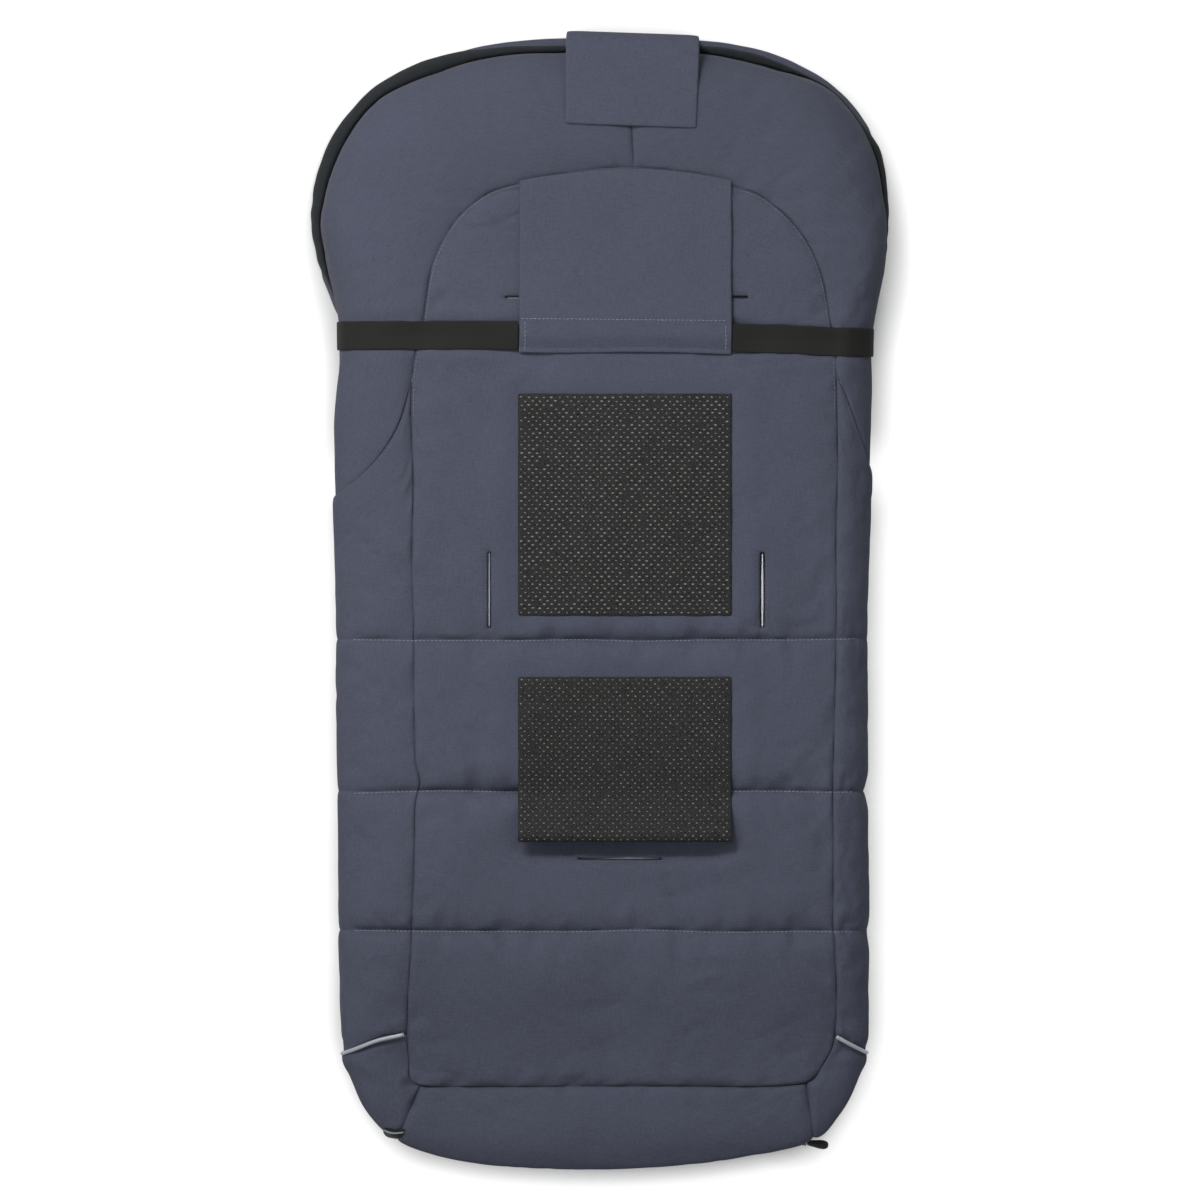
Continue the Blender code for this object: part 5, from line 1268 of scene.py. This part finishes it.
def make_backrest_flap():
    """The cloth flap over the backrest, with its hem folded round the elastic."""
    lines = []
    for share in spread(0.0, 1.0, 48):
        x = mix(*FLAP_X, share)
        bow = 1.0 - (2.0 * share - 1.0) ** 2
        hang = mix(0.0012, 0.0030, share)
        line = []
        for k, (y, z) in enumerate(flap_line(mix(0.3698, 0.3790, bow))):
            loose = math.sin(math.pi * min(k / 20.0, 1.0)) if k <= 20 else 0.0
            rise = 0.0016 * loose * noise.noise(Vector((x * 22.0, y * 18.0, 1.0)))
            rise += 0.0007 * noise.noise(Vector((x * 70.0, y * 9.0, 4.0))) * loose
            at_y = y + 0.0008 * math.sin(x * 33.0) * (1.0 - loose)
            line.append((x + 0.0007 * noise.noise(Vector((share * 3.0, y * 30.0, 9.0))),
                         at_y - hang * min(k / 20.0, 1.0) ** 2, z + rise))
        lines.append(line)
    grid = np.array(lines)
    mesh = grid_mesh("backrest_flap_cloth", grid)
    piece = thickened(link("backrest_flap_cloth", mesh, "shell"), FLAP_CLOTH * 0.9)
    attached(piece, "backrest_flap", "backrest_flap")
    return piece


def make_flap_stitches(flap):
    """Stitches along the backrest flap's hem and down its two sides."""
    ends = (FLAP_X[0] + 0.002, FLAP_X[1] - 0.002)
    lines = [[(x, HEM_TURN_Y - strap_drop(x)) for x in ends]]
    lines += [[(x, FLAP_FOOT_Y + 0.001), (x, HEM_TURN_Y - 0.001 - strap_drop(x))]
              for x in (FLAP_X[0] + 0.0052, FLAP_X[1] - 0.0052)]
    stitches("flap_stitches", lines, tree_of([flap]), "backrest_flap", follow=False)


def strap_grid(points, low_y, high_y):
    """A strap's surface along points in X and Z, hanging a little towards the foot."""
    return np.array([[(x, y - float(strap_drop(x)), z) for x, z in points]
                     for y in spread(low_y, high_y, 8)])


def cloth_under(tree, y, x, z, dx, dz):
    """How far out of a place the elastic lies on the cloth below it."""
    size, found = math.hypot(dx, dz), -0.004
    for near in (-0.003, 0.0, 0.003):
        start = Vector((x + dx / size * 0.03, y + near - float(strap_drop(x)),
                        z + dz / size * 0.03))
        place, _, _, far = tree.ray_cast(start, Vector((-dx, 0.0, -dz)) / size, 0.06)
        if place:
            found = max(found, 0.03 - far)
    return min(found, 0.006) + 0.0010


def smooth_line(points, count):
    """A smooth line through points, evenly divided."""
    points = [Vector((x, 0.0, z)) for x, z in points]
    fine = []
    padded = [points[0]] + points + [points[-1]]
    for a, b, c, d in zip(padded, padded[1:], padded[2:], padded[3:]):
        for k in range(12):
            t = k / 12.0
            fine.append(0.5 * (2 * b + (c - a) * t + (2 * a - 5 * b + 4 * c - d) * t * t
                               + (3 * b - a - 3 * c + d) * t ** 3))
    fine.append(points[-1])
    total = sum((b - a).length for a, b in zip(fine, fine[1:]))
    found = resampled(fine, total / count * 0.9999)
    return [(p.x, p.z) for p in found]


def make_strap_middle():
    """The elastic's length in the hem of the backrest flap."""
    low, high = STRAP_Y - STRAP_WIDTH / 2.0 + 0.0030, STRAP_Y + STRAP_WIDTH / 2.0
    grid = strap_grid([(x, STRAP_MIDDLE_Z) for x in spread(*FLAP_X, 30)], low, high)
    for line, y in zip(grid, spread(low, high, 8)):
        line[:, 2] -= 0.7 * hem_dip(y)
    mesh = grid_mesh("strap_in_hem", grid, UP, grid[..., :2])
    piece = thickened(link("strap_in_hem", mesh, "black_webbing"), STRAP_CLOTH)
    attached(piece, "backrest_flap", "strap_middle")


def strap_run(tree, side, section, start_x, line_y):
    """One line of a strap end in X and Z, over the cloth and down the side."""
    points = []
    for share in (0.0, 0.25, 0.5, 0.75):
        x = mix(start_x + side * 0.0003, section.inner.x, share)
        lies = BACK_Z + cloth_under(tree, line_y, x, BACK_Z, 0.0, 1.0)
        points.append((x, max(lies, mix(STRAP_MIDDLE_Z, lies, ramp(share * 3.0)))))
    for share in (0.0, 0.1, 0.2, 0.34, 0.48, 0.6, 0.7, 0.78, 0.86):
        (px, _, pz), (dx, _, dz) = section.point(share)
        size = math.hypot(dx, dz)
        out = cloth_under(tree, line_y, px, pz, dx, dz)
        points.append((px + dx / size * out, pz + dz / size * out))
    return np.array(smooth_line(points, 70)[:69])


def make_strap_end(tree, side, word, start_x):
    """One end of the elastic, from the hem down to the side where it is sewn in."""
    low, high = STRAP_Y - STRAP_WIDTH / 2.0, STRAP_Y + STRAP_WIDTH / 2.0
    section = Section(side, station_at(side, STRAP_Y))
    lines = [strap_run(tree, side, section, start_x, y)
             for y in (low + 0.002, STRAP_Y, high - 0.002)]
    grid = strap_grid(lines[1], low, high)
    for k, line in enumerate(grid):
        share = k / 4.0 - 1.0
        edge = abs(share)
        other = lines[2] if share > 0.0 else lines[0]
        line[:, 0] = mix(lines[1][:, 0], other[:, 0], 0.3 * edge)
        line[:, 2] = mix(lines[1][:, 1], other[:, 1], edge)
        dip = 0.5 * hem_dip(STRAP_Y + (k / 8.0 - 0.5) * STRAP_WIDTH)
        for m, (x, _, z) in enumerate(line.tolist()):
            line[m, 1] += 0.0009 * noise.noise(Vector((x * 22.0, 3.0, z * 20.0)))
            line[m, 1] += 0.0006 * edge * noise.noise(Vector((x * 60.0, 9.0 + k, 0.0)))
            line[m, 2] -= dip * max(0.0, 1.0 - m / 8.0)
    name = f"strap_end_{word}"
    along_u, along_v = panel_lengths(grid)
    mesh = grid_mesh(name, grid, (side * 0.3, 0.0, 1.0), np.stack([along_v, along_u], -1))
    piece = thickened(link(name, mesh, "black_webbing"), STRAP_CLOTH)
    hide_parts(f"strap_{word}")
    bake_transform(piece)


TOP_FLAP_X = (-0.0302, 0.088)
TOP_FLAP_Y, TOP_FLAP_LEAVES, TOP_FLAP_BEND, TOP_FLAP_EDGE = 0.4165, 0.455, 0.4905, 0.4984


def over_crown(u, rise):
    """A place over the hood's crown seam, in Y and Z, at share u of its section."""
    (_, y, z), (_, dy, dz) = Section(LEFT, CROWN).point(u)
    return y + dy * (0.0025 + rise), z + dz * (0.0025 + rise)


def crown_share(y, rise):
    """The share of the crown's section at which the hood reaches a place in Y."""
    low, high = 0.0, WIDEST
    for _ in range(30):
        middle = (low + high) / 2.0
        low, high = (middle, high) if over_crown(middle, rise)[0] < y else (low, middle)
    return (low + high) / 2.0


def top_flap_path(rise):
    """The top flap's line in Y and Z: up the hood, over the rim and down before it."""
    low, high = crown_share(TOP_FLAP_Y, rise), crown_share(TOP_FLAP_LEAVES, rise)
    path = [over_crown(share, rise) for share in spread(low, high, 14)]
    y, z = path[-1]
    slope = (path[-2][1] - z) / (y - path[-2][0])
    path += [(y + run, z - slope * run * 0.9) for run in spread(0.0, TOP_FLAP_BEND - y, 12)[1:]]
    z = path[-1][1]
    for turn in spread(0.0, math.pi / 2.0, 7)[1:]:
        path.append((mix(TOP_FLAP_BEND, TOP_FLAP_EDGE, math.sin(turn)),
                     z - 0.016 * (1.0 - math.cos(turn)) - 0.002 * turn))
    return path + [(TOP_FLAP_EDGE, z) for z in spread(path[-1][1], 0.0045, 6)[1:]]


def make_top_flap():
    """The flap folded over the rim, with hook tape under it and loop tape on the hood."""
    path = top_flap_path(0.0020)
    lines = []
    for share in spread(0.0, 1.0, 34):
        tilt = -0.0042 * (share - 0.5)
        line = []
        for k, (y, z) in enumerate(path):
            loose = 1.0 - k / len(path)
            narrow = 0.0032 * max(0.0, 1.0 - (y - TOP_FLAP_Y) / 0.082)
            x = mix(TOP_FLAP_X[0], TOP_FLAP_X[1] - narrow, share)
            wave = 0.0009 * loose * noise.noise(Vector((x * 30.0, y * 25.0, 8.0)))
            corner = 0.0016 * max(0.0, (k - 24.0) / 16.0) * (2.0 * abs(share - 0.5)) ** 12
            line.append((x - math.copysign(corner, share - 0.5), y + tilt - corner, z + wave))
        lines.append(line)
    grid = np.array(lines)
    mesh = grid_mesh("top_flap_cloth", grid, (0.0, 0.2, 1.0))
    piece = thickened(link("top_flap_cloth", mesh, "shell"), 0.0022)
    attached(piece, "top_flap", "top_flap")
    for name, rise, node, body in (("hook_strip", 0.0010, "top_flap_hook_tape", "top_flap"),
                                   ("loop_strip", 0.0002, "hood_loop_tape", "muff")):
        shares = spread(*(crown_share(y, rise) for y in TAPE_Y), 10)
        path = [over_crown(share, rise) for share in shares]
        grid = np.array([[(x, y, z) for y, z in path] for x in spread(*TAPE_X, 16)])
        strip = link(name, grid_mesh(name, grid), "hook_tape")
        attached(thickened(strip, 0.0009), body, node)


# Rim, linings, covers and trims


def rim_rows(side):
    """Stations of the rim up one side."""
    start = mix(shoulder_station(side, 1.0), FIRST_ARCH, 0.11)
    return spread(start, FIRST_ARCH, 22)[:-1] + spread(FIRST_ARCH, CROWN, 110)[:-1]


RIM_INNER = ((-0.0034, 0.30), (0.0, 0.30), (0.0015, 0.62), (0.0033, 0.98))
RIM_OUTER = ((0.42, 0.96), (0.60, 0.86), (0.78, 0.69), (0.91, 0.48), (0.98, 0.27),
             (1.00, 0.10), (0.96, -0.02), (0.80, -0.06))


def make_rim():
    """The dark binding round the hood's edge, and the front's shell-coloured cloth past it, whose
    strip paints the light on the binding's top.
    """
    rows = [(LEFT, s) for s in rim_rows(LEFT) + [CROWN]]
    rows += [(RIGHT, s) for s in rim_rows(RIGHT)[::-1]]
    count = len(RIM_INNER) + len(RIM_OUTER)
    lines, folds = [[] for _ in range(count)], [[] for _ in range(count)]
    for side, s in rows:
        section = Section(side, s)
        top = section.edge_z + 0.004
        taper = 1.0 - min(max((s - 11.0) / 1.2, 0.0), 1.0)
        low = (ZIP_Z - TAPE_REACH) * taper * taper + 0.0008
        ripple = 0.0006 * noise.noise(Vector((s * 5.0, 1.5, 3.0 * side)))
        wide = section.rim + 0.0010
        lit_width = min(by_station(LIT_EDGE_WIDTHS[side], s), 0.75 * wide)
        dark = wide - lit_width + 0.4 * ripple
        fold = wide - 0.0030 * (1.0 - min(lit_width / 0.002, 1.0))
        fit = min(1.0, (wide + section.pull) / 0.012)
        for shape, width, tall in ((lines, dark, top), (folds, fold, top * 0.72)):
            places = [(fit * away - section.pull, height) for away, height in RIM_INNER]
            places += [(width * reach + ripple - 0.0010, height) for reach, height in RIM_OUTER]
            for k, (away, height) in enumerate(places):
                plan = section.lower + section.out * away
                shape[k].append((plan.x, plan.y, mix(low, tall, max(height, 0.0))))
    # The shell-coloured strip is painted light: a lit copy of the binding's top, widest at the
    # crown.
    for name, shape, finish, node in (("rim_binding_cloth", lines, "rim", "hood_rim_binding"),
                                      ("lit_edge_cloth", folds, "shell", None)):
        piece = link(name, grid_mesh(name, np.array(shape), (0.0, 0.0, 0.0)), finish)
        turn_out(piece, Vector((0.0, 0.3, 0.02)))
        attached(thickened(piece, 0.0018, -1.0), "muff", node)


def turn_out(piece, middle):
    """Turns faces away from a middle point."""
    score = sum((face.center - middle).dot(face.normal) * face.area
                for face in piece.data.polygons)
    if score < 0.0:
        piece.data.flip_normals()


def fleece_piece(name, node, places, facing, depth, body="muff"):
    """A fleece layer under a panel, with an uneven pile."""
    grid = places - facing * depth
    if body == "muff":
        low = slump(places[..., 1]) + pad_dip(places[..., 0], places[..., 1])
        grid[..., 2] -= low * np.clip((facing[..., 2] - 0.1) / 0.5, 0.0, 1.0)
    pile = np.array([noise.noise(Vector(p) * 90.0) + 0.6 * noise.noise(Vector(p) * 240.0)
                     for p in grid.reshape(-1, 3)]).reshape(grid.shape[:2])
    grid = grid + facing * (0.0005 * pile)[..., None]
    draw_in(grid, 0.002, (True, True, True, True))
    piece = link(name, grid_mesh(name, grid, -facing), "fleece")
    if name == "back_fleece":
        edited(piece.data, open_slots)
    attached(thickened(piece, LINING_THICK * 0.8, -1.0), body, node)


def make_linings(panels):
    """Fleece behind the back, the gussets, the hood and the foot."""
    depth = LINING_GAP + LINING_THICK
    back = panels["back_panel"]
    fleece_piece("back_fleece", "back_lining", back["p"][::2, ::2], back["d"][::2, ::2],
                 BACK_THICK + depth)
    for _, word in SIDES:
        for place in ("gusset", "hood"):
            grid = panels[f"{place}_panel_{word}"]
            fleece_piece(f"{place}_lining_fleece_{word}", f"{place}_lining_{word}", grid["p"],
                         grid["d"], WALL_THICK + depth)
    left, right = (panels[f"foot_corner_panel_{word}"] for _, word in SIDES)
    end = panels["foot_end_skin"]
    places, facing = (np.concatenate([left[key][:, :0:-1], end[key], right[key][:, 1:]], 1)
                      for key in "pd")
    fleece_piece("foot_fleece", "foot_lining", places, facing, WALL_THICK + depth)


def cover_profile(edge, toward, flat_shares, root):
    """Points and directions across a cover, from its zip edge inwards."""
    pairs = []
    for turn in spread(0.0, math.pi / 2.0, 10):
        plan = edge + toward * COVER_SKIRT * (1.0 - math.cos(turn))
        height = (ZIP_Z - TAPE_REACH) * (1.0 - math.sin(turn))
        out = -toward * math.cos(turn)
        pairs.append(((plan.x, plan.y, height), (out.x, out.y, -math.sin(turn))))
    for share in flat_shares:
        plan = (edge + toward * COVER_SKIRT).lerp(root, share)
        pairs.append(((plan.x, plan.y, 0.0), (0.0, 0.0, -1.0)))
    return pairs


def quilted_cover(places, facing, roll):
    """Draws a cover in at its quilting seams and crumples it a little."""
    depth = np.zeros(places.shape[:2])
    for seam in QUILT_SEAMS:
        far = np.abs(places[..., 1] - seam)
        depth += 0.0032 * np.exp(-far / roll) + 0.0012 * np.exp(-far / 0.0012)
    flat = places.reshape(-1, 3)
    crease = np.array([noise.noise(Vector((x * 90.0, y * 18.0, 2.0)))
                       for x, y, _ in flat]).reshape(depth.shape)
    near = np.minimum(depth / 0.003, 1.0)
    return places - facing * (depth + 0.0007 + 0.0007 * crease * near)[..., None]


def cover_shell(name, places, facing, shaped, body, node):
    """The padded outer cloth of a cover."""
    uv = np.stack(panel_lengths(places), -1)
    piece = link(name, grid_mesh(name, shaped, facing, uv), "shell")
    attached(thickened(piece, COVER_THICK * 0.9, -1.0), body, node)


def cover_heights(low, high):
    """Places in Y of a cover's rows, with two more rows beside each quilting seam."""
    stops = [low] + sorted(QUILT_SEAMS) + [high]
    heights = [high]
    for a, b in zip(stops, stops[1:]):
        heights += spread(a, b, max(4, int((b - a) / 0.005)))[:-1]
    heights += [seam + beside for seam in QUILT_SEAMS for beside in (-0.0012, 0.0012)]
    return sorted(heights)


def make_cover():
    """The front cover under the body, its fleece and its hem."""
    shares = spread(0.0, 1.0, 30)[1:]
    sections = []
    for y in cover_heights(HINGE_Y + 0.0002, COVER_TOP_Y):
        left, right = Vector((SIDE_ZIP_X[LEFT], y)), Vector((SIDE_ZIP_X[RIGHT], y))
        middle = left.lerp(right, 0.5)
        a = cover_profile(left, Vector((1.0, 0.0)), shares, middle)
        b = cover_profile(right, Vector((-1.0, 0.0)), shares[:-1], middle)
        sections.append(a + b[::-1])
    places, facing = pair_grids(sections)
    cover_shell("cover_shell", places, facing, quilted_cover(places, facing, 0.007),
                "front_cover", "cover_quilt")
    depth = COVER_THICK + LINING_GAP + LINING_THICK
    fleece_piece("cover_fleece", "cover_lining", places[::2, ::2], facing[::2, ::2], depth,
                 "front_cover")
    hem = places[:, -1:].repeat(7, 1)
    for k, turn in enumerate(spread(0.0, math.pi, 6)):
        hem[:, k, 1] = COVER_TOP_Y + 0.0004 + (HEM_WIDTH - 0.0006) * math.sin(turn)
        hem[:, k] -= facing[:, -1] * (depth * (1.0 - math.cos(turn)) / 2.0 + 0.0006)
    mesh = grid_mesh("cover_hem_cloth", hem, (0.0, 0.0, 0.0))
    piece = link("cover_hem_cloth", mesh, "rim")
    turn_out(piece, Vector((0.0, 0.0, 0.008)))
    attached(thickened(piece, 0.0012, -1.0), "front_cover", "cover_hem_binding")


def make_foot_cover():
    """The foot part of the cover."""
    hinge_y = HINGE_Y - 0.0002
    left, right = (Vector((SIDE_ZIP_X[side], hinge_y)) for side in (LEFT, RIGHT))
    edges = [left] + [Section(LEFT, s).lower for s in spread(5.4, 0.0, 54)]
    edges += [Section(RIGHT, s).lower for s in spread(0.0, 5.4, 54)[1:]] + [right]
    middle = (left.x + right.x) / 2.0
    sections = []
    for edge in edges:
        root = Vector((mix(middle, edge.x, 0.72), hinge_y))
        shares = spread(0.0, 1.0, 12)[1:]
        sections.append(cover_profile(edge, (root - edge).normalized(), shares, root))
    places, facing = pair_grids(sections)
    cover_shell("foot_cover_shell", places, facing, places - facing * 0.0008, "foot_cover",
                "foot_cover_quilt")


def tube(name, points, radius, finish, resolution=3):
    """A round bar along points, as a mesh."""
    curve = bpy.data.curves.new(name, "CURVE")
    curve.dimensions = "3D"
    curve.bevel_depth = radius
    curve.bevel_resolution = resolution
    curve.use_fill_caps = True
    spline = curve.splines.new("POLY")
    spline.points.add(len(points) - 1)
    for knot, point in zip(spline.points, points):
        knot.co = (*point, 1.0)
    holder = bpy.data.objects.new(name + "_curve", curve)
    bpy.context.scene.collection.objects.link(holder)
    bpy.context.view_layer.update()
    graph = bpy.context.evaluated_depsgraph_get()
    mesh = bpy.data.meshes.new_from_object(holder.evaluated_get(graph))
    bpy.data.objects.remove(holder, do_unlink=True)
    edited(mesh, lambda bm: bmesh.ops.remove_doubles(bm, verts=bm.verts[:], dist=0.00001))
    return link(name, mesh, finish)


def make_piping():
    """Reflective piping between gussets and foot corners."""
    for side, word in SIDES:
        section = Section(side, PIPING)
        points = []
        for share in spread(0.02, 0.95, 45):
            (x, y, z), (dx, dy, dz) = section.point(share)
            loose = 1.0 - min(max((share - 0.15) / 0.45, 0.0), 1.0)
            wander = warp(x, y)
            x, y = x + loose * wander[0], y + loose * wander[1]
            points.append((x + dx * 0.0012, y + dy * 0.0012, z + dz * 0.0012))
        cord = tube(f"piping_cord_{word}", points, 0.0017, "reflective")
        attached(cord, "muff", f"piping_{word}")


COIL_STEP, COIL_PITCH, COIL_WIRE = 0.00035, 0.0016, 0.00028


def outward(line):
    """The direction to one side of a line of the plan, at each of its points."""
    pairs = zip([line[0]] + line[:-1], line[1:] + [line[-1]])
    runs = [(b - a).normalized() for a, b in pairs]
    return [Vector((run.y, -run.x, 0.0)) for run in runs]


def zip_half(name, path, half, body, node):
    """A zip half: a woven tape and the turns of its coil."""
    path = [Vector((x, y, 0.0)) for x, y in path]
    grid = np.array([[(p.x, p.y, ZIP_Z + half * reach) for p in path]
                     for reach in (0.0010, 0.0022, 0.0040, 0.0057)])
    mesh = grid_mesh(name, grid, np.array([tuple(out) for out in outward(path)]))
    attached(thickened(link(name, mesh, "zip_tape"), 0.0008), body, node)
    points = []
    line = resampled(path, COIL_STEP)
    for k, (place, out) in enumerate(zip(line, outward(line))):
        turn = k * COIL_STEP / COIL_PITCH * 2.0 * math.pi
        centre = place + Vector((0.0, 0.0, ZIP_Z + half * 0.0019))
        points.append(centre + out * math.cos(turn) * 0.0010
                      + Vector((0.0, 0.0, math.sin(turn) * 0.0009)))
    attached(tube(name + "_coil", points, COIL_WIRE, "zip_tape", 0), body)


def make_zips():
    """Tape and coil of the side zips and the foot zip."""
    for side, word in SIDES:
        path = [(SIDE_ZIP_X[side], y) for y in spread(HINGE_Y + 0.0004, COVER_TOP_Y - 0.0002, 40)]
        zip_half(f"zip_{word}_upper", path, 1.0, "muff", f"side_zip_{word}_body_half")
        zip_half(f"zip_{word}_lower", path, -1.0, "front_cover",
                 f"side_zip_{word}_cover_half")
    path = [(FOOT_ZIP_CENTRE[0] + math.sin(angle) * FOOT_ZIP_RADIUS,
             FOOT_ZIP_CENTRE[1] - math.cos(angle) * FOOT_ZIP_RADIUS)
            for angle in spread(-FOOT_ZIP_HALF_ANGLE, FOOT_ZIP_HALF_ANGLE, 40)]
    zip_half("foot_zip_upper", path, 1.0, "muff", "foot_zip_end_half")
    zip_half("foot_zip_lower", path, -1.0, "foot_cover", "foot_zip_cover_half")


ZIP_END_PATH = ((-0.1906, -0.4664), (-0.1870, -0.4682), (-0.1832, -0.4692), (-0.1780, -0.4692),
                (-0.1726, -0.4682))


def make_zip_end(tree):
    """The dark end of the foot zip's tape that shows at the left foot corner, with its edge."""
    for name, reach, lift, finish in (
        ("zip_end_fold", (0.0038, -0.0052), 0.0012, "zip_tape"),
        ("zip_end_edge", (0.0004, -0.0010), 0.0024, "ribbon"),
    ):
        lines = []
        for wide in spread(*reach, 4):
            line = []
            for m, (x, y) in enumerate(ZIP_END_PATH):
                off = wide * (0.6 if m == 0 else 1.0)
                place, _ = drop_on(tree, x + 0.3 * off, y + off)
                z = place.z if place else 0.03
                line.append((x + 0.3 * off, y + off, z + lift))
            lines.append(line)
        piece = link(name, grid_mesh(name, np.array(lines)), finish)
        attached(thickened(piece, 0.0010, levels=2), "muff")


LIP_PROFILE = ((1.00, -0.0120), (0.86, -0.0085), (0.45, -0.0050), (0.06, -0.0028),
               (0.08, -0.0012), (0.26, -0.0004), (0.44, -0.0011), (0.50, -0.0034))


def make_slot_bindings(tree):
    """Light fleece lips that all but close the slots of the back."""
    for name, x, y, length, along_y, half in SLOTS:
        beside = 0.0035 + half
        around = [drop_on(tree, x + (d if along_y else 0.0), y + (0.0 if along_y else d))[0].z
                  for d in (-beside, beside)]
        rise = sum(around) / 2.0 - 0.0022 - (0.0022 if name == "shoulder_slit" else 0.0)
        verts, faces = [], []
        for side in (-1.0, 1.0):
            base = len(verts)
            for share in spread(0.0, 1.0, 40):
                wide = half * (0.30 + 0.70 * math.sin(math.pi * share))
                place = (share - 0.5) * (length - 0.0012)
                sag = 0.0010 * (1.0 - math.sin(math.pi * share) ** 0.4)
                wave = 0.0002 * noise.noise(Vector((place * 90.0, side * 3.0, x * 9.0)))
                for across, height in LIP_PROFILE:
                    off = side * (across * wide + 0.00008) + wave
                    up = rise + height - sag
                    spot = (off, place, up) if along_y else (place, off, up)
                    verts.append((x + spot[0], y + spot[1], spot[2]))
            wide = len(LIP_PROFILE)
            for k in range(40):
                for m in range(wide - 1):
                    p = base + k * wide + m
                    quad = (p, p + 1, p + wide + 1, p + wide)
                    faces.append(quad[::-1] if (side > 0.0) == along_y else quad)
        mesh = mesh_of(name + "_lips", verts, faces)
        # Only the right slot's lips keep the binding's light colour; the darker copy on the
        # others is painted shade.
        finish = "bright_binding" if name == "harness_slot_right" else "binding_painted_shade"
        piece = thickened(link(name + "_lips", mesh, finish), 0.0005)
        attached(piece, "muff", name + "_binding")


def paint_nodes():
    """Gives the hard CAD pieces that stay in view their finishes."""
    for node, finish in (
        ("side_slider_left", "zip_metal"), ("side_slider_right", "zip_metal"),
        ("side_pull_left", "zip_metal"), ("side_pull_right", "zip_metal"),
        ("foot_slider", "zip_metal"), ("foot_pull_ribbon", "ribbon"),
        ("foot_pull_grip", "rubber"),
    ):
        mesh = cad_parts[node].data
        mesh.materials.clear()
        mesh.materials.append(MATERIALS[finish])


# The set


# Each lamp's place, size, power and beam
LAMPS = {
    "key": ((-1.2, 2.4, 3.3), 1.1, 4.4, math.radians(36.0)),
    "fill": ((-0.9, 0.3, 1.2), 0.8, 4.8, math.pi),
}
LAMP_AIM = (-0.02, 0.18, 0.0)
CAMERA_Z, LENS, SENSOR = 17.665, 600.0, 36.0
FLOOR_REACH = 20.0


def staged(name, data):
    """An object of the set."""
    made = bpy.data.objects.new(name, data)
    bpy.context.scene.collection.objects.link(made)
    return made


def make_floor():
    """A floor that the camera sees as white, with a soft shadow close to the object: painted by
    ambient occlusion, over the real shadow on its dim diffuse part.
    """
    look = new_look("floor_white")
    rays = [look.add("LightPath", out, {}) for out in ("Is Camera Ray", "Is Glossy Ray")]
    lean = look.add("Normal", "Normal", {})
    lean.default_value = Vector((-0.05, 0.42, 0.90)).normalized()
    # Painted shadow: the camera's white emission darkens where ambient occlusion, round a normal
    # leaned towards the key lamp, finds the object near.
    near = look.add("AmbientOcclusion", "AO", {"Normal": lean, "Distance": 0.034}, samples=16)
    bright = look.add("MapRange", "Result", {"Value": near, "From Min": 0.32,
                                             "From Max": 0.94, "To Min": 0.02, "To Max": 0.95})
    look.fill(look.shader, {
        "Base Color": (0.30, 0.30, 0.30, 1.0), "Roughness": 0.95, "Specular IOR Level": 0.0,
        "Emission Color": (1.0, 1.0, 1.0, 1.0),
        "Emission Strength": look.sums("MULTIPLY", look.sums("MAXIMUM", *rays), bright),
    })
    a, b = -FLOOR_REACH, FLOOR_REACH
    mesh = mesh_of("floor", [(a, a, 0.0), (b, a, 0.0), (b, b, 0.0), (a, b, 0.0)], [(0, 1, 2, 3)])
    mesh.materials.append(look.made)
    staged("floor", mesh)


def make_set():
    """Soft studio light from the upper left, the floor and the camera above."""
    make_floor()
    world = bpy.data.worlds.new("studio")
    bpy.context.scene.world = world
    look = Look(world, "Background")
    seen = look.add("LightPath", "Is Camera Ray", {})
    strength = look.add("MapRange", "Result", {"Value": seen, "To Min": 0.39, "To Max": 1.0})
    look.fill(look.shader, {"Color": (0.955, 1.0, 0.985, 1.0), "Strength": strength})
    for name, (place, size, power, beam) in LAMPS.items():
        lamp = bpy.data.lights.new(name, "AREA")
        lamp.shape = "SQUARE"
        lamp.size = size
        lamp.energy = power
        lamp.spread = beam
        holder = staged(name, lamp)
        holder.location = place
        aim = Vector(place) - Vector(LAMP_AIM)
        holder.rotation_euler = (-aim).to_track_quat("-Z", "Y").to_euler()
    camera = bpy.data.cameras.new("camera")
    camera.lens = LENS
    camera.sensor_width = SENSOR
    holder = staged("camera", camera)
    holder.location = (0.0, 0.0, CAMERA_Z)
    bpy.context.scene.camera = holder
    bpy.context.scene.view_settings.view_transform = "Standard"


# Everything together


def main():
    """Builds every piece round the frame."""
    tree = tree_of(make_shell())
    make_stitching(tree)
    pads = tree_of([make_pad(name, tree) for name in PADS])
    for name in PADS:
        make_dots(name, pads)
    make_flap_stitches(make_backrest_flap())
    make_strap_middle()
    for (side, word), start_x in zip(SIDES, FLAP_X):
        make_strap_end(tree, side, word, start_x)
    make_top_flap()
    make_rim()
    make_linings(shell_panels())
    make_cover()
    make_foot_cover()
    make_piping()
    make_zips()
    make_slot_bindings(tree)
    make_zip_end(tree)
    paint_nodes()
    make_set()


MATERIALS = make_materials()
main()
